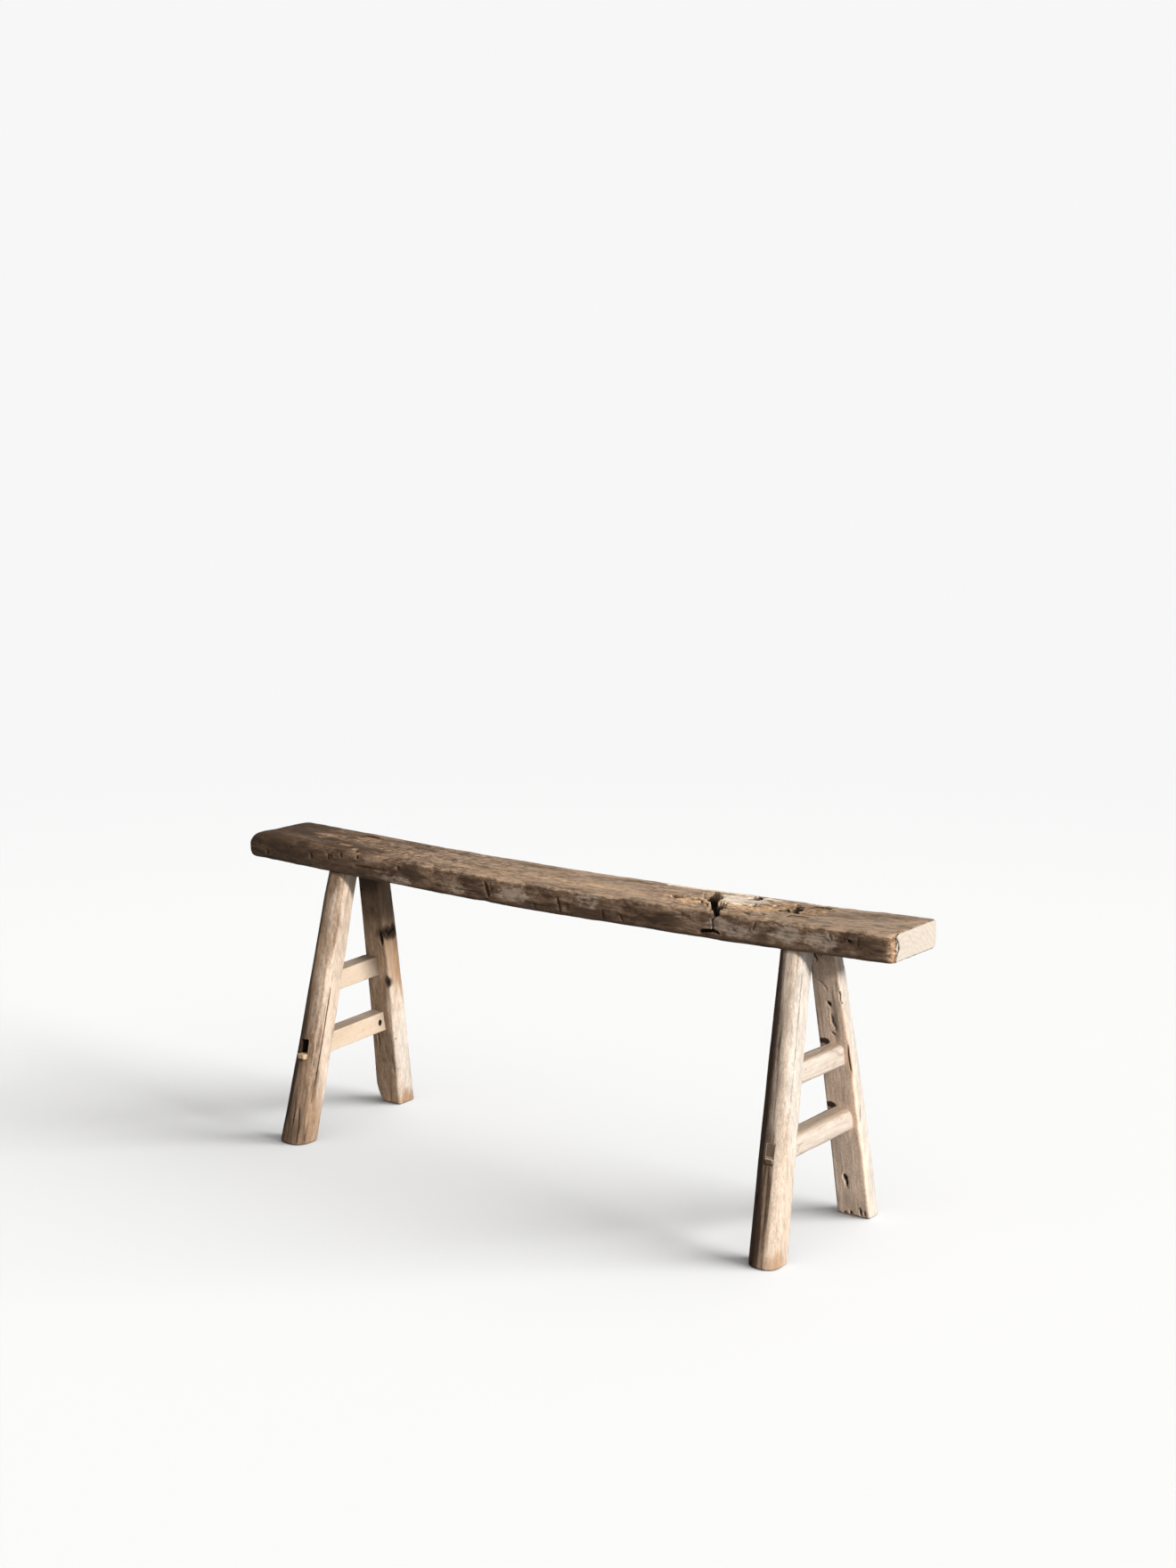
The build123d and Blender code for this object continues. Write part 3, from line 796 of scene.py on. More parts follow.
def leg_patches(name, leg):
    """Where each leg's colour changes: dark grime, painted shade, pale bleached wood and brown bark.

    They lie on the leg as if it stood upright, with its middle on X = 0.
    """
    def patch(layer, z, across, behind, reach, strength=0.8, ragged=0.5):
        middle = (across * leg.width(z) / 2, leg.side * (FOOT_GAP / 2 + behind), z)
        return Patch(layer, middle, reach, strength, ragged)

    if name == "leg_front_left":
        return [
            # Dark grime with painted shade down the -X side, away from the window.
            patch("stain", 240, -0.95, 36, (15, 44, 420), 0.95, 0.3),
            patch("stain", 80, -0.8, 42, (22, 30, 150), 0.8, 0.5),
            patch("stain", 20, 0.0, 44, (40, 30, 80), 0.6, 0.6),
            patch("stain", 190, -0.35, 42, (13, 18, 110), 0.6, 0.7),
            patch("stain", 360, -0.5, 42, (10, 14, 90), 0.5, 0.7),
            patch("bare", 300, 0.95, 14, (13, 24, 220), 0.95, 0.5),
            patch("bare", 130, 1.0, 8, (12, 20, 120), 0.8, 0.5),
            patch("bare", 385, 0.35, 36, (14, 14, 70), 0.6, 0.6),
            patch("bare", 250, 0.3, 38, (12, 14, 90), 0.5, 0.7),
            patch("sand", 40, 0.8, 18, (22, 30, 60), 0.5),
            patch("sand", 250, -0.4, 40, (14, 14, 110), 0.45, 0.8),
        ]
    if name == "leg_back_left":
        return [
            # Painted shade of the plank over the top of the inner face.
            patch("stain", 430, 0.0, 0, (50, 24, 50), 0.7, 0.3),
            # Painted shade of the plank on the upper +X face.
            patch("stain", 400, 1.0, 20, (12, 30, 64), 0.5, 0.5),
            patch("stain", 326, 0.9, 8, (16, 36, 16), 0.9, 0.6),
            patch("sand", 270, 1.0, 26, (12, 14, 70), 0.8, 0.6),
            patch("stain", 236, 0.9, 2, (8, 8, 14), 0.9, 0.5),
            patch("sand", 290, 1.0, 10, (14, 22, 80), 0.7, 0.6),
            patch("bare", 180, 1.15, 20, (14, 40, 200), 1.0, 0.4),
            patch("pale", 110, 1.15, 26, (12, 34, 130), 0.7, 0.5),
            patch("sand", 4, 0.6, 20, (40, 40, 24), 0.7),
        ]
    if name == "leg_front_right":
        return [
            patch("bare", 230, 0.3, 40, (24, 30, 420), 1.0, 0.3),
            patch("pale", 350, 1.1, 10, (15, 34, 230), 1.0, 0.3),
            patch("bare", 90, 1.1, 10, (15, 34, 250), 1.0, 0.2),
            # Dark grime with painted shade down the -X side, away from the window.
            patch("stain", 230, -1.05, 40, (26, 50, 500), 1.0, 0.2),
            patch("stain", 60, -0.6, 44, (26, 40, 190), 1.0, 0.5),
            patch("stain", 250, -0.5, 44, (17, 20, 190), 0.75, 0.6),
            patch("stain", 190, -0.35, 46, (16, 20, 120), 0.6, 0.8),
            patch("sand", 70, -0.2, 46, (16, 20, 120), 0.7, 0.8),
            patch("sand", 8, 0.3, 30, (40, 30, 24), 0.7),
        ]
    return [
        patch("pale", 230, 1.15, 20, (11, 40, 560), 1.0, 0.1),
        patch("worn", 190, -0.2, 0, (60, 9, 340), 1.0, 0.3),
        # Painted shade of the plank over the top of the inner face.
        patch("stain", 440, -0.1, 0, (40, 12, 26), 0.55),
        patch("stain", 350, -0.7, 0, (10, 10, 60), 0.4, 0.6),
        patch("sand", 8, 0.0, 4, (40, 14, 40), 0.4),
        patch("sand", 262, 0.95, 0, (7, 7, 40), 0.8),
        # Painted shadows that the rungs cast on the inner face, just above each rung's top at its -X edge.
        patch("stain", 287, -0.65, 0, (12, 5, 6), 1.0, 0.2),
        patch("stain", 183, -0.7, 0, (12, 5, 6), 1.0, 0.2),
        patch("stain", 330, 0.4, 0, (5, 5, 50), 0.5, 0.7),
    ]


def leg_shape(name, leg):
    shape = Shape.of_rings(with_caps(leg_rings(leg)))
    points = shape.vertices
    body = smooth(0, -4, points[:, 2] - plank_top(points[:, 0]) + SEAT_THICKNESS)
    straight = points.copy()
    straight[:, 1] += leg.side * RAKE * points[:, 2]  # noise follows the grain up the leaning leg
    straight[:, 0] -= leg.x(points[:, 2])
    shape.paint(leg_patches(name, leg), straight, 40 * leg.seed, (6, 6, 90))
    depth = shape.carve(leg_cuts(name, leg), 60 * leg.seed)
    shape.layers["end"] = smooth(0.75, 0.97, np.abs(shape.normals[:, 2]))
    hewn = 0.9 * fractal(straight, (45, 45, 130), leg.seed)
    lumps = 0.28 * fractal(straight, (12, 12, 50), leg.seed + 100)
    grain = 0.3 * fractal(straight, (3.2, 3.2, 80), leg.seed + 200, 2)
    checks = smooth(0.9, 1.0, 1 - np.abs(fractal(straight, (13, 13, 190), leg.seed + 300, 2)))
    checks *= smooth(0.0, 0.4, fractal(straight, (30, 30, 110), leg.seed + 400))
    side = 1 - shape.layers["end"]
    shape.add("pit", 0.22 * checks * side * body)
    total = (hewn + lumps + (grain - 0.5 * checks) * side - depth) * body
    total *= smooth(-1, 5, points[:, 2])
    total += np.where(points[:, 2] < 5, -depth * (1 - smooth(-1, 5, points[:, 2])) * side, 0)
    shape.vertices = points + shape.normals * total[:, None]
    shape.vertices[:, 2] = np.maximum(shape.vertices[:, 2], 0)
    return shape


def mortise_cutter(rung, leg, width, height, start, end):
    """A cutter along a rung, between two depths behind a leg's inner face."""
    def place(x, depth, up):
        z = rung.z + up
        y = leg.side * (leg.inner(z) + depth)
        return rung.x(y) + x, y, z

    return box_cutter((-width / 2, start, -height / 2), (width / 2, end, height / 2), place)


def build_leg(name, leg, material):
    piece = make_mesh(name + "_wood", leg_shape(name, leg), material)
    cutters = []
    for rung in RUNGS.values():
        if rung.end in name and rung.through:
            cutters.append(mortise_cutter(rung, leg, MORTISE_WIDTH, MORTISE_HEIGHT, -6, 60))
        elif rung.end in name:
            cutters.append(mortise_cutter(rung, leg, 16, 25, -6, 20.5))
    cut_out(piece, cutters)
    attach(piece, name)


# ---------------------------------------------------------------------------
# The rungs, their wedges and the nail
# ---------------------------------------------------------------------------

TENON_THICKNESS = 14.6
TENON_HEIGHT = 22.0
BLIND_TENON = (24.0, 20.0)  # height and length
WEDGE_LENGTH = 30.0
WEDGE_ENDS = (10.0, 5.0)
TENON_ENDS = {"leg_front_left": 20.0, "leg_front_right": 1.2, "leg_back_left": 2.5, "leg_back_right": 2.5}
WEDGE_PROUD = {"leg_front_left": 8.0, "leg_front_right": -0.5, "leg_back_left": -2.0, "leg_back_right": -2.0}


def rung_rings(rung):
    """A rung's outlines from its front tenon to its back one. Across is -X, so that they run round outwards."""
    arcs = [max(3, round(6 / COARSE))] * 4
    edges = [max(3, round(n / COARSE)) for n in (14, 17, 14, 17)]
    raised = (MORTISE_HEIGHT - TENON_HEIGHT) / 2 if rung.through else 0
    tenon_height = TENON_HEIGHT if rung.through else BLIND_TENON[0]

    def outline(width, height, lift, radius):
        a, b = width / 2, height / 2
        corners = np.array([[[-a, lift - b], [a, lift - b], [a, lift + b], [-a, lift + b]]])
        return rounded_ring(corners, np.full((1, 4), radius), arcs, edges)[0]

    def tenon_length(side):
        leg_name = f"leg_{'front' if side < 0 else 'back'}_{rung.end}"
        if not rung.through:
            return BLIND_TENON[1] - 0.5
        return LEGS[leg_name].depth(rung.z) - TENON_ENDS[leg_name]

    body = outline(rung.thickness, rung.height, 0, rung.radius)
    tenon = outline(TENON_THICKNESS - 0.3, tenon_height - 0.3, raised, 0.8)

    def ring(shape, share, depth):
        """An outline placed at a share of the way from the middle to a leg, and a depth into that leg."""
        z = rung.z + shape[:, 1]
        y = share * (FOOT_GAP / 2 - RAKE * z) + np.sign(share) * depth
        return np.stack([rung.x(y) - shape[:, 0], y, z], axis=1)

    spans = spaced([-1, 1], [2.2 / (FOOT_GAP / 2 - RAKE * rung.z)])
    rings = [ring(body, share, 0) for share in spans]
    steps = [body + (tenon - body) * share for share in (0.35, 0.7)]
    for side in (-1, 1):
        depths = np.linspace(0, tenon_length(side), 8)
        shoulder = [ring(step, side, 0) for step in steps]
        end = shoulder + [ring(tenon, side, depth) for depth in depths]
        rings = end[::-1] + rings if side < 0 else rings + end
    return np.stack(rings)


def build_rung(name, rung, material):
    old = rung.end == "right"
    shape = Shape.of_rings(with_caps(rung_rings(rung), 5))
    points = shape.vertices
    gap = FOOT_GAP / 2 - RAKE * points[:, 2]
    shape.layers["end"] = smooth(0.7, 0.95, np.abs(shape.normals[:, 1])) * (np.abs(points[:, 1]) > gap + 3)
    # Painted shade: the rungs' tops are darkened where the plank above shades them.
    shape.add("stain", 0.75 * smooth(0.55, 0.95, shape.normals[:, 2]))
    # The tenon end deep in the front left leg's slot is painted black: painted shade at the bottom of the slot.
    blind = [side for side in (-1, 1) if TENON_ENDS[f"leg_{'front' if side < 0 else 'back'}_{rung.end}"] > 10]
    for side in blind if rung.through else []:
        shape.add("pit", shape.layers["end"] * (side * points[:, 1] > 0))
    body = smooth(0.3, -1.5, np.abs(points[:, 1]) - gap)
    rough = 1.0 if old else 0.25
    hewn = rough * 0.9 * fractal(points, (26, 60, 26), rung.seed)
    grain = rough * 0.22 * fractal(points, (3, 60, 3), rung.seed + 10, 2)
    depth = shape.carve(RUNG_CUTS.get(name, []), rung.seed)
    if old:
        checks = smooth(0.92, 1.0, 1 - np.abs(fractal(points, (11, 120, 11), rung.seed + 20, 2)))
        shape.add("pit", 0.4 * checks * body)
        depth = depth + 0.6 * checks
    shape.vertices = points + shape.normals * ((hewn + grain - depth) * body)[:, None]
    piece = make_mesh(name + "_wood", shape, material)
    if name == NAILED_RUNG:
        cut_out(piece, [pocket_cutter()])
    else:
        piece.data.set_sharp_from_angle(angle=math.radians(55))
    attach(piece, name)


def rung_side(name, share, up, out=1.0):
    """A point on a rung's +X side: share of the way to the back leg, and a height above its middle."""
    rung = RUNGS[name]
    y = share * (FOOT_GAP / 2 - RAKE * rung.z)
    return (rung.x(y) + out * rung.thickness / 2, y, rung.z + up)


RUNG_CUTS = {
    "rung_upper_right": [
        Cut([rung_side("rung_upper_right", -0.85, 13, 0.2), rung_side("rung_upper_right", -0.3, 15, 0.3)],
            2.0, 2.0, 0.4, 0.8, pit=0.8),
        Cut([rung_side("rung_upper_right", -0.72, 5), rung_side("rung_upper_right", -0.7, 4)], 1.6, 2, 0.3, 0.8),
    ],
    "rung_lower_right": [
        Cut([rung_side("rung_lower_right", -1.0, 13, 0.6), rung_side("rung_lower_right", 0.9, 14, 0.6)],
            1.4, 1.3, 0.3, 0.9, pit=0.5),
    ],
}

NAILED_RUNG = "rung_lower_left"
NAIL_RADIUS = 1.5
NAIL_SLANT = math.radians(30)
NAIL_START = 14.0
NAIL_LENGTH = 36.0
POCKET_DEPTH = 9.0
POCKET_RADIUS = 3.1


def nail_frame():
    """Where the nail's axis leaves the rung's side, and its direction into the back leg."""
    rung = RUNGS[NAILED_RUNG]
    start_y = FOOT_GAP / 2 - RAKE * rung.z - NAIL_START
    length = math.hypot(1, rung.slope())
    along = Vector((rung.slope(), 1, 0)) / length
    outward = Vector((1, -rung.slope(), 0)) / length
    start = Vector((rung.x(start_y), start_y, rung.z)) + outward * rung.thickness / 2
    return start, along * math.cos(NAIL_SLANT) - outward * math.sin(NAIL_SLANT)


def round_bar(radii, depths, sides=20):
    """Outlines of a round bar on the nail's axis, one radius for each depth."""
    start, axis = nail_frame()
    up = Vector((0, 0, 1))
    across = up.cross(axis)
    angles = np.linspace(0, 2 * np.pi, sides, endpoint=False)
    ring = np.outer(np.cos(angles), across) + np.outer(np.sin(angles), up)
    return np.stack([np.array(start + axis * depth) + ring * radius for radius, depth in zip(radii, depths)])


def pocket_cutter():
    """The slanting pocket that the nail was driven in: a narrow slot that leans towards the leg."""
    start, axis = nail_frame()
    lean = Vector((axis.x, axis.y, 0)).normalized() + Vector((0, 0, 1.7))
    lean.normalize()
    across = lean.cross(axis).normalized()
    angles = np.linspace(0, 2 * np.pi, 20, endpoint=False)
    ring = np.outer(np.cos(angles), across) * POCKET_RADIUS * 0.85 + np.outer(np.sin(angles), lean) * 7.0
    rings = np.stack([np.array(start + axis * depth) + ring * size for depth, size in ((-12, 1.0), (7.5, 0.9))])
    return make_mesh("cutter", Shape.of_rings(with_caps(rings, 2)), bpy.data.materials["painted_shade_in_cuts"])


def build_nail(material):
    """A cut nail with a small domed head at the bottom of its pocket, tapering to its point."""
    depths = [POCKET_DEPTH - 0.9, POCKET_DEPTH - 0.7, POCKET_DEPTH, POCKET_DEPTH + 0.5, POCKET_DEPTH + 0.7,
              26, 30, 34, NAIL_LENGTH]
    radii = [1.1, 1.9, 2.2, 2.2, NAIL_RADIUS, NAIL_RADIUS, NAIL_RADIUS * 0.9, 0.8, 0.15]
    shape = Shape.of_rings(with_caps(round_bar(radii, depths), 3))
    piece = make_mesh("toe_nail", shape, material)
    attach(piece, "rung_nail")


def build_wedge(name, rung, leg_name, material, seed):
    """A split wedge under a through tenon, thick end outwards, with a chewed outer end."""
    leg = LEGS[leg_name]
    proud = WEDGE_PROUD[leg_name]
    bottom = -MORTISE_HEIGHT / 2
    outer = leg.depth(rung.z) + proud
    depths = spaced([outer - WEDGE_LENGTH, outer], [1.2])
    share = (depths - depths[0]) / WEDGE_LENGTH
    heights = WEDGE_ENDS[1] + (WEDGE_ENDS[0] - WEDGE_ENDS[1]) * share - 0.3
    rounding = corner_inset(outer - depths, 2.0)
    half = MORTISE_WIDTH / 2 - 0.6 - rounding
    base = np.full(len(depths), bottom + 0.15) + rounding
    top = bottom + heights - rounding
    corners = np.stack(
        [np.stack(pair, axis=1) for pair in ((-half, base), (half, base), (half, top), (-half, top))], axis=1
    )
    arcs = [max(3, round(5 / COARSE))] * 4
    edges = [max(3, round(n / COARSE)) for n in (10, 6, 10, 6)]
    outline = rounded_ring(corners, np.full((len(depths), 4), 1.2), arcs, edges)
    z = rung.z + outline[..., 1]
    y = leg.side * (leg.inner(rung.z + bottom) + depths[:, None] + 0 * z)
    x = rung.x(y) + leg.side * -outline[..., 0]
    shape = Shape.of_rings(with_caps(np.stack([x, y, z], axis=2), 4))
    if proud > 0:
        swell = smooth(outer - 7, outer - 1, leg.side * shape.vertices[:, 1] - leg.inner(rung.z + bottom))
    else:
        swell = 0
    bumps = 0.5 * fractal(shape.vertices, (7, 14, 7), seed) * smooth(-1, 3, shape.vertices[:, 2] - rung.z - bottom)
    shape.vertices = shape.vertices + shape.normals * (bumps * swell)[:, None] if proud > 0 else shape.vertices
    shape.layers["end" if proud > 0 else "stain"] = smooth(0.6, 0.95, np.abs(shape.normals[:, 1]))
    piece = make_mesh(name + "_wood", shape, material)
    piece.data.set_sharp_from_angle(angle=math.radians(55))
    attach(piece, name)


# ---------------------------------------------------------------------------
# Materials
# ---------------------------------------------------------------------------


class Nodes:
    """A short way to write a material's nodes. Sockets and numbers can be given for any input."""

    def __init__(self, name):
        self.material = bpy.data.materials.new(name)
        self.material.use_nodes = True
        self.tree = self.material.node_tree
        self.shader = self.tree.nodes["Principled BSDF"]
        self.place = self.add("ShaderNodeTexCoord").outputs["Object"]

    def add(self, kind, settings=None, **inputs):
        node = self.tree.nodes.new(kind)
        for key, value in (settings or {}).items():
            setattr(node, key, value)
        for key, value in inputs.items():
            self.put(node.inputs[key.replace("_", " ")], value)
        return node

    def put(self, socket, value):
        if isinstance(value, bpy.types.NodeSocket):
            self.tree.links.new(value, socket)
        else:
            socket.default_value = value

    def layer(self, name):
        return self.add("ShaderNodeAttribute", {"attribute_name": name}).outputs["Fac"]

    def stretched(self, scale, turn=(0, 0, 0)):
        """Object coordinates turned and stretched, for grain: one scale for each axis, per metre."""
        node = self.add("ShaderNodeMapping", Vector=self.place)
        node.inputs["Scale"].default_value = scale
        node.inputs["Rotation"].default_value = turn
        return node.outputs["Vector"]

    def noise(self, place, scale=1.0, detail=4.0, roughness=0.55, distortion=0.0):
        node = self.add("ShaderNodeTexNoise", Vector=place, Scale=scale, Detail=detail,
                        Roughness=roughness, Distortion=distortion)
        return node.outputs["Fac"]

    def step(self, value, low, high):
        node = self.add("ShaderNodeMapRange", {"interpolation_type": "SMOOTHSTEP"}, Value=value)
        node.inputs["From Min"].default_value = low
        node.inputs["From Max"].default_value = high
        return node.outputs["Result"]

    def math(self, operation, a, b=0.0, clamp=False):
        node = self.add("ShaderNodeMath", {"operation": operation, "use_clamp": clamp})
        self.put(node.inputs[0], a)
        self.put(node.inputs[1], b)
        return node.outputs[0]

    def mix(self, share, a, b, blend="MIX"):
        node = self.add("ShaderNodeMix", {"data_type": "RGBA", "blend_type": blend})
        self.put(node.inputs["Factor"], share)
        for socket, value in ((node.inputs[6], a), (node.inputs[7], b)):
            self.put(socket, value if isinstance(value, bpy.types.NodeSocket) else (*value, 1.0))
        return node.outputs[2]

    def finish(self, colour, roughness, height, distance):
        self.put(self.shader.inputs["Base Color"], colour)
        self.put(self.shader.inputs["Roughness"], roughness)
        self.shader.inputs["Specular IOR Level"].default_value = 0.18
        bump = self.add("ShaderNodeBump", Height=height, Strength=1.0, Distance=distance)
        self.put(self.shader.inputs["Normal"], bump.outputs["Normal"])
        return self.material


def shade(tone, factor):
    return tuple(min(1.0, part * factor) for part in tone)


STRINGY = ((8, 30), (34, 75), (8, 190))
MOTTLED = ((16, 38), (70, 120), (30, 170))


def wood(name, grain_axis, tones, layers, rough=0.8, bump=0.0006, figure=STRINGY, spread=0.12, breakup=0.7,
         ring_centre=None):
    """Wood with its grain along an axis (0, 1 or 2). tones are its dark, middle and light colours.

    layers maps a colour layer's name to the colour that it turns the wood. figure gives the
    broad, medium and fine marks' scales along and across the grain. A smaller spread is harsher, and
    breakup is how much the layers' edges break up.
    """
    nodes = Nodes(name)

    def along(long_scale, cross_scale):
        scale = [cross_scale] * 3
        scale[grain_axis] = long_scale
        return nodes.stretched(scale)

    dark, middle, light = tones
    broad = nodes.noise(along(*figure[0]), 1.0, 6.0, 0.6, 0.4)
    mottling = nodes.noise(along(*figure[1]), 1.0, 8.0, 0.7, 0.2)
    streaks = nodes.noise(along(*figure[2]), 1.0, 6.0, 0.6, 0.5)
    flecks = nodes.noise(along(110.0, 330.0), 1.0, 5.0, 0.7, 0.3)
    fine = nodes.noise(along(40.0, 1100.0), 1.0, 3.0, 0.6)
    tone = nodes.math("ADD", nodes.math("MULTIPLY", broad, 0.3), nodes.math("MULTIPLY", mottling, 0.3))
    tone = nodes.math("ADD", tone, nodes.math("MULTIPLY", streaks, 0.2))
    tone = nodes.math("ADD", tone, nodes.math("MULTIPLY", flecks, 0.2))
    colour = nodes.mix(nodes.step(tone, 0.5 - spread, 0.50), dark, middle)
    colour = nodes.mix(nodes.step(tone, 0.50, 0.5 + spread), colour, light)
    uneven = nodes.math("SUBTRACT", nodes.math("ADD", mottling, nodes.math("MULTIPLY", flecks, 0.8)), 0.9)
    for layer, middle_tone in layers.items():
        amount = nodes.layer(layer)
        edge = nodes.math("ADD", amount, nodes.math("MULTIPLY", uneven, breakup))
        share = nodes.math("MULTIPLY", nodes.step(edge, 0.15, 0.85), nodes.step(amount, 0.0, 0.45))
        contrast = 0.1 if layer == "bare" else 0.15 * breakup
        varied = nodes.mix(nodes.step(tone, 0.5 - spread, 0.5 + spread),
                           shade(middle_tone, 0.84 - contrast), shade(middle_tone, 1.06 + contrast))
        colour = nodes.mix(share, colour, varied)
    lines = nodes.math("MULTIPLY", nodes.step(fine, 0.54, 0.36), 0.3)
    colour = nodes.mix(lines, colour, shade(dark, 0.7))
    specks = nodes.noise(nodes.place, 330.0, 4.0, 0.7)
    colour = nodes.mix(nodes.math("MULTIPLY", nodes.step(specks, 0.6, 0.74), 0.3), colour, shade(dark, 0.8))
    if ring_centre:
        colour = end_grain(nodes, colour, layers["end"], ring_centre, mottling)
    pit = nodes.step(nodes.layer("pit"), 0.15, 0.9)
    colour = nodes.mix(pit, colour, (0.012, 0.007, 0.004))
    roughness = nodes.add("ShaderNodeMapRange", Value=mottling)
    roughness.inputs["To Min"].default_value = rough - 0.12
    roughness.inputs["To Max"].default_value = rough + 0.12
    height = nodes.math("ADD", nodes.math("MULTIPLY", streaks, 0.7), nodes.math("MULTIPLY", fine, 0.35))
    height = nodes.math("ADD", height, nodes.math("MULTIPLY", specks, 0.25))
    height = nodes.math("ADD", height, nodes.math("MULTIPLY", mottling, 0.9))
    return nodes.finish(colour, roughness.outputs["Result"], height, bump)


def end_grain(nodes, colour, tone, centre, mottling):
    """A sawn end: faint growth rings round the tree's heart, which lies on a line along the plank."""
    from_heart = nodes.add("ShaderNodeMapping", Vector=nodes.place)
    from_heart.inputs["Location"].default_value = tuple(-part for part in centre)
    wave = nodes.add("ShaderNodeTexWave", {"wave_type": "RINGS", "rings_direction": "X"},
                     Vector=from_heart.outputs["Vector"], Scale=38.0, Distortion=7.0, Detail=4.0,
                     Detail_Scale=1.2)
    rings = nodes.mix(wave.outputs["Fac"], shade(tone, 0.95), shade(tone, 1.03))
    rings = nodes.mix(nodes.math("MULTIPLY", nodes.step(mottling, 0.45, 0.7), 0.35), rings, shade(tone, 0.7))
    return nodes.mix(nodes.step(nodes.layer("end"), 0.3, 0.8), colour, rings)


def iron(name):
    """A rusted nail."""
    nodes = Nodes(name)
    rust = nodes.noise(nodes.place, 900.0, 5.0, 0.7)
    colour = nodes.mix(nodes.step(rust, 0.4, 0.65), (0.02, 0.015, 0.012), (0.12, 0.045, 0.018))
    nodes.shader.inputs["Metallic"].default_value = 0.6
    return nodes.finish(colour, nodes.step(rust, -0.6, 1.2), rust, 0.0002)


def build_bench():
    # Nearly black wood for the walls of every cut: painted shade inside the mortises and the nail's pocket.
    wood("painted_shade_in_cuts", 2, ((0.02, 0.012, 0.007), (0.035, 0.021, 0.012), (0.06, 0.036, 0.02)), {})
    plank_wood = wood(
        "plank_wood", 0, ((0.055, 0.032, 0.019), (0.135, 0.083, 0.052), (0.265, 0.177, 0.118)),
        {"worn": (0.35, 0.245, 0.165), "stain": (0.062, 0.037, 0.022), "pale": (0.30, 0.23, 0.175),
         "sand": (0.46, 0.30, 0.18), "bare": (0.80, 0.665, 0.53), "end": (0.50, 0.44, 0.38)},
        bump=0.0008, figure=MOTTLED, spread=0.065, breakup=1.6, ring_centre=(0.0, -0.03, 0.40),
    )
    leg_wood = wood(
        "leg_wood", 2, ((0.132, 0.081, 0.048), (0.25, 0.166, 0.107), (0.37, 0.262, 0.182)),
        {"bare": (0.555, 0.445, 0.355), "pale": (0.585, 0.525, 0.462), "worn": (0.79, 0.60, 0.465), "sand": (0.36, 0.23, 0.14),
         "stain": (0.045, 0.026, 0.016), "end": (0.30, 0.18, 0.10)}, bump=0.001, spread=0.1, breakup=0.4,
    )
    # In fresh_wood and worn_wood the darker stain colour goes only on the rungs' tops: painted shade under the
    # plank.
    fresh = wood(
        "fresh_wood", 1, ((0.49, 0.375, 0.268), (0.545, 0.432, 0.33), (0.58, 0.478, 0.385)),
        {"stain": (0.42, 0.33, 0.25), "end": (0.10, 0.055, 0.03)}, 0.62, 0.00015,
    )
    worn = wood(
        "worn_wood", 1, ((0.38, 0.295, 0.23), (0.51, 0.44, 0.375), (0.61, 0.54, 0.48)),
        {"stain": (0.42, 0.32, 0.24), "end": (0.15, 0.10, 0.065)}, 0.75, 0.0004,
    )
    split = wood(
        "split_wood", 1, ((0.36, 0.24, 0.14), (0.50, 0.36, 0.24), (0.60, 0.46, 0.33)),
        {"stain": (0.13, 0.08, 0.05), "end": (0.48, 0.33, 0.2)}, 0.8, 0.0004,
    )
    plank(plank_wood)
    for name, leg in LEGS.items():
        build_leg(name, leg, leg_wood)
    for number, (name, rung) in enumerate(RUNGS.items()):
        fresh_rung = rung.end == "left"
        build_rung(name, rung, fresh if fresh_rung else worn)
        if rung.through:
            for place in ("front", "back"):
                leg_name = f"leg_{place}_{rung.end}"
                build_wedge(f"rung_wedge_{place}_{rung.end}", rung, leg_name, split, 70 + number)
    build_nail(iron("rusty_iron"))


# ---------------------------------------------------------------------------
# Floor, light and camera
# ---------------------------------------------------------------------------

BACKDROP = 0.93


def build_floor():
    """A pale floor that fades into the backdrop's tone away from the bench."""
    bpy.ops.mesh.primitive_circle_add(vertices=96, radius=60, fill_type="NGON")
    floor = bpy.context.object
    floor.name = "floor"
    nodes = Nodes("pale_floor")
    distance = nodes.add("ShaderNodeVectorMath", {"operation": "LENGTH"})
    nodes.put(distance.inputs[0], nodes.place)
    fade = nodes.step(distance.outputs["Value"], 1.4, 4.5)
    nodes.shader.inputs["Base Color"].default_value = (0.45, 0.45, 0.45, 1)
    nodes.shader.inputs["Roughness"].default_value = 0.9
    nodes.shader.inputs["Specular IOR Level"].default_value = 0.1
    backdrop = nodes.add("ShaderNodeEmission", Color=(BACKDROP, BACKDROP, BACKDROP, 1), Strength=1.0)
    blend = nodes.add("ShaderNodeMixShader", Fac=fade)
    nodes.put(blend.inputs[1], nodes.shader.outputs[0])
    nodes.put(blend.inputs[2], backdrop.outputs[0])
    nodes.put(nodes.tree.nodes["Material Output"].inputs["Surface"], blend.outputs[0])
    floor.data.materials.append(nodes.material)
    floor.visible_diffuse = False  # the bench gets its light from below from the world instead
    return floor


SOFT_SIDE = (0.72, -0.42, 0.45)  # where the soft fill light mostly comes from


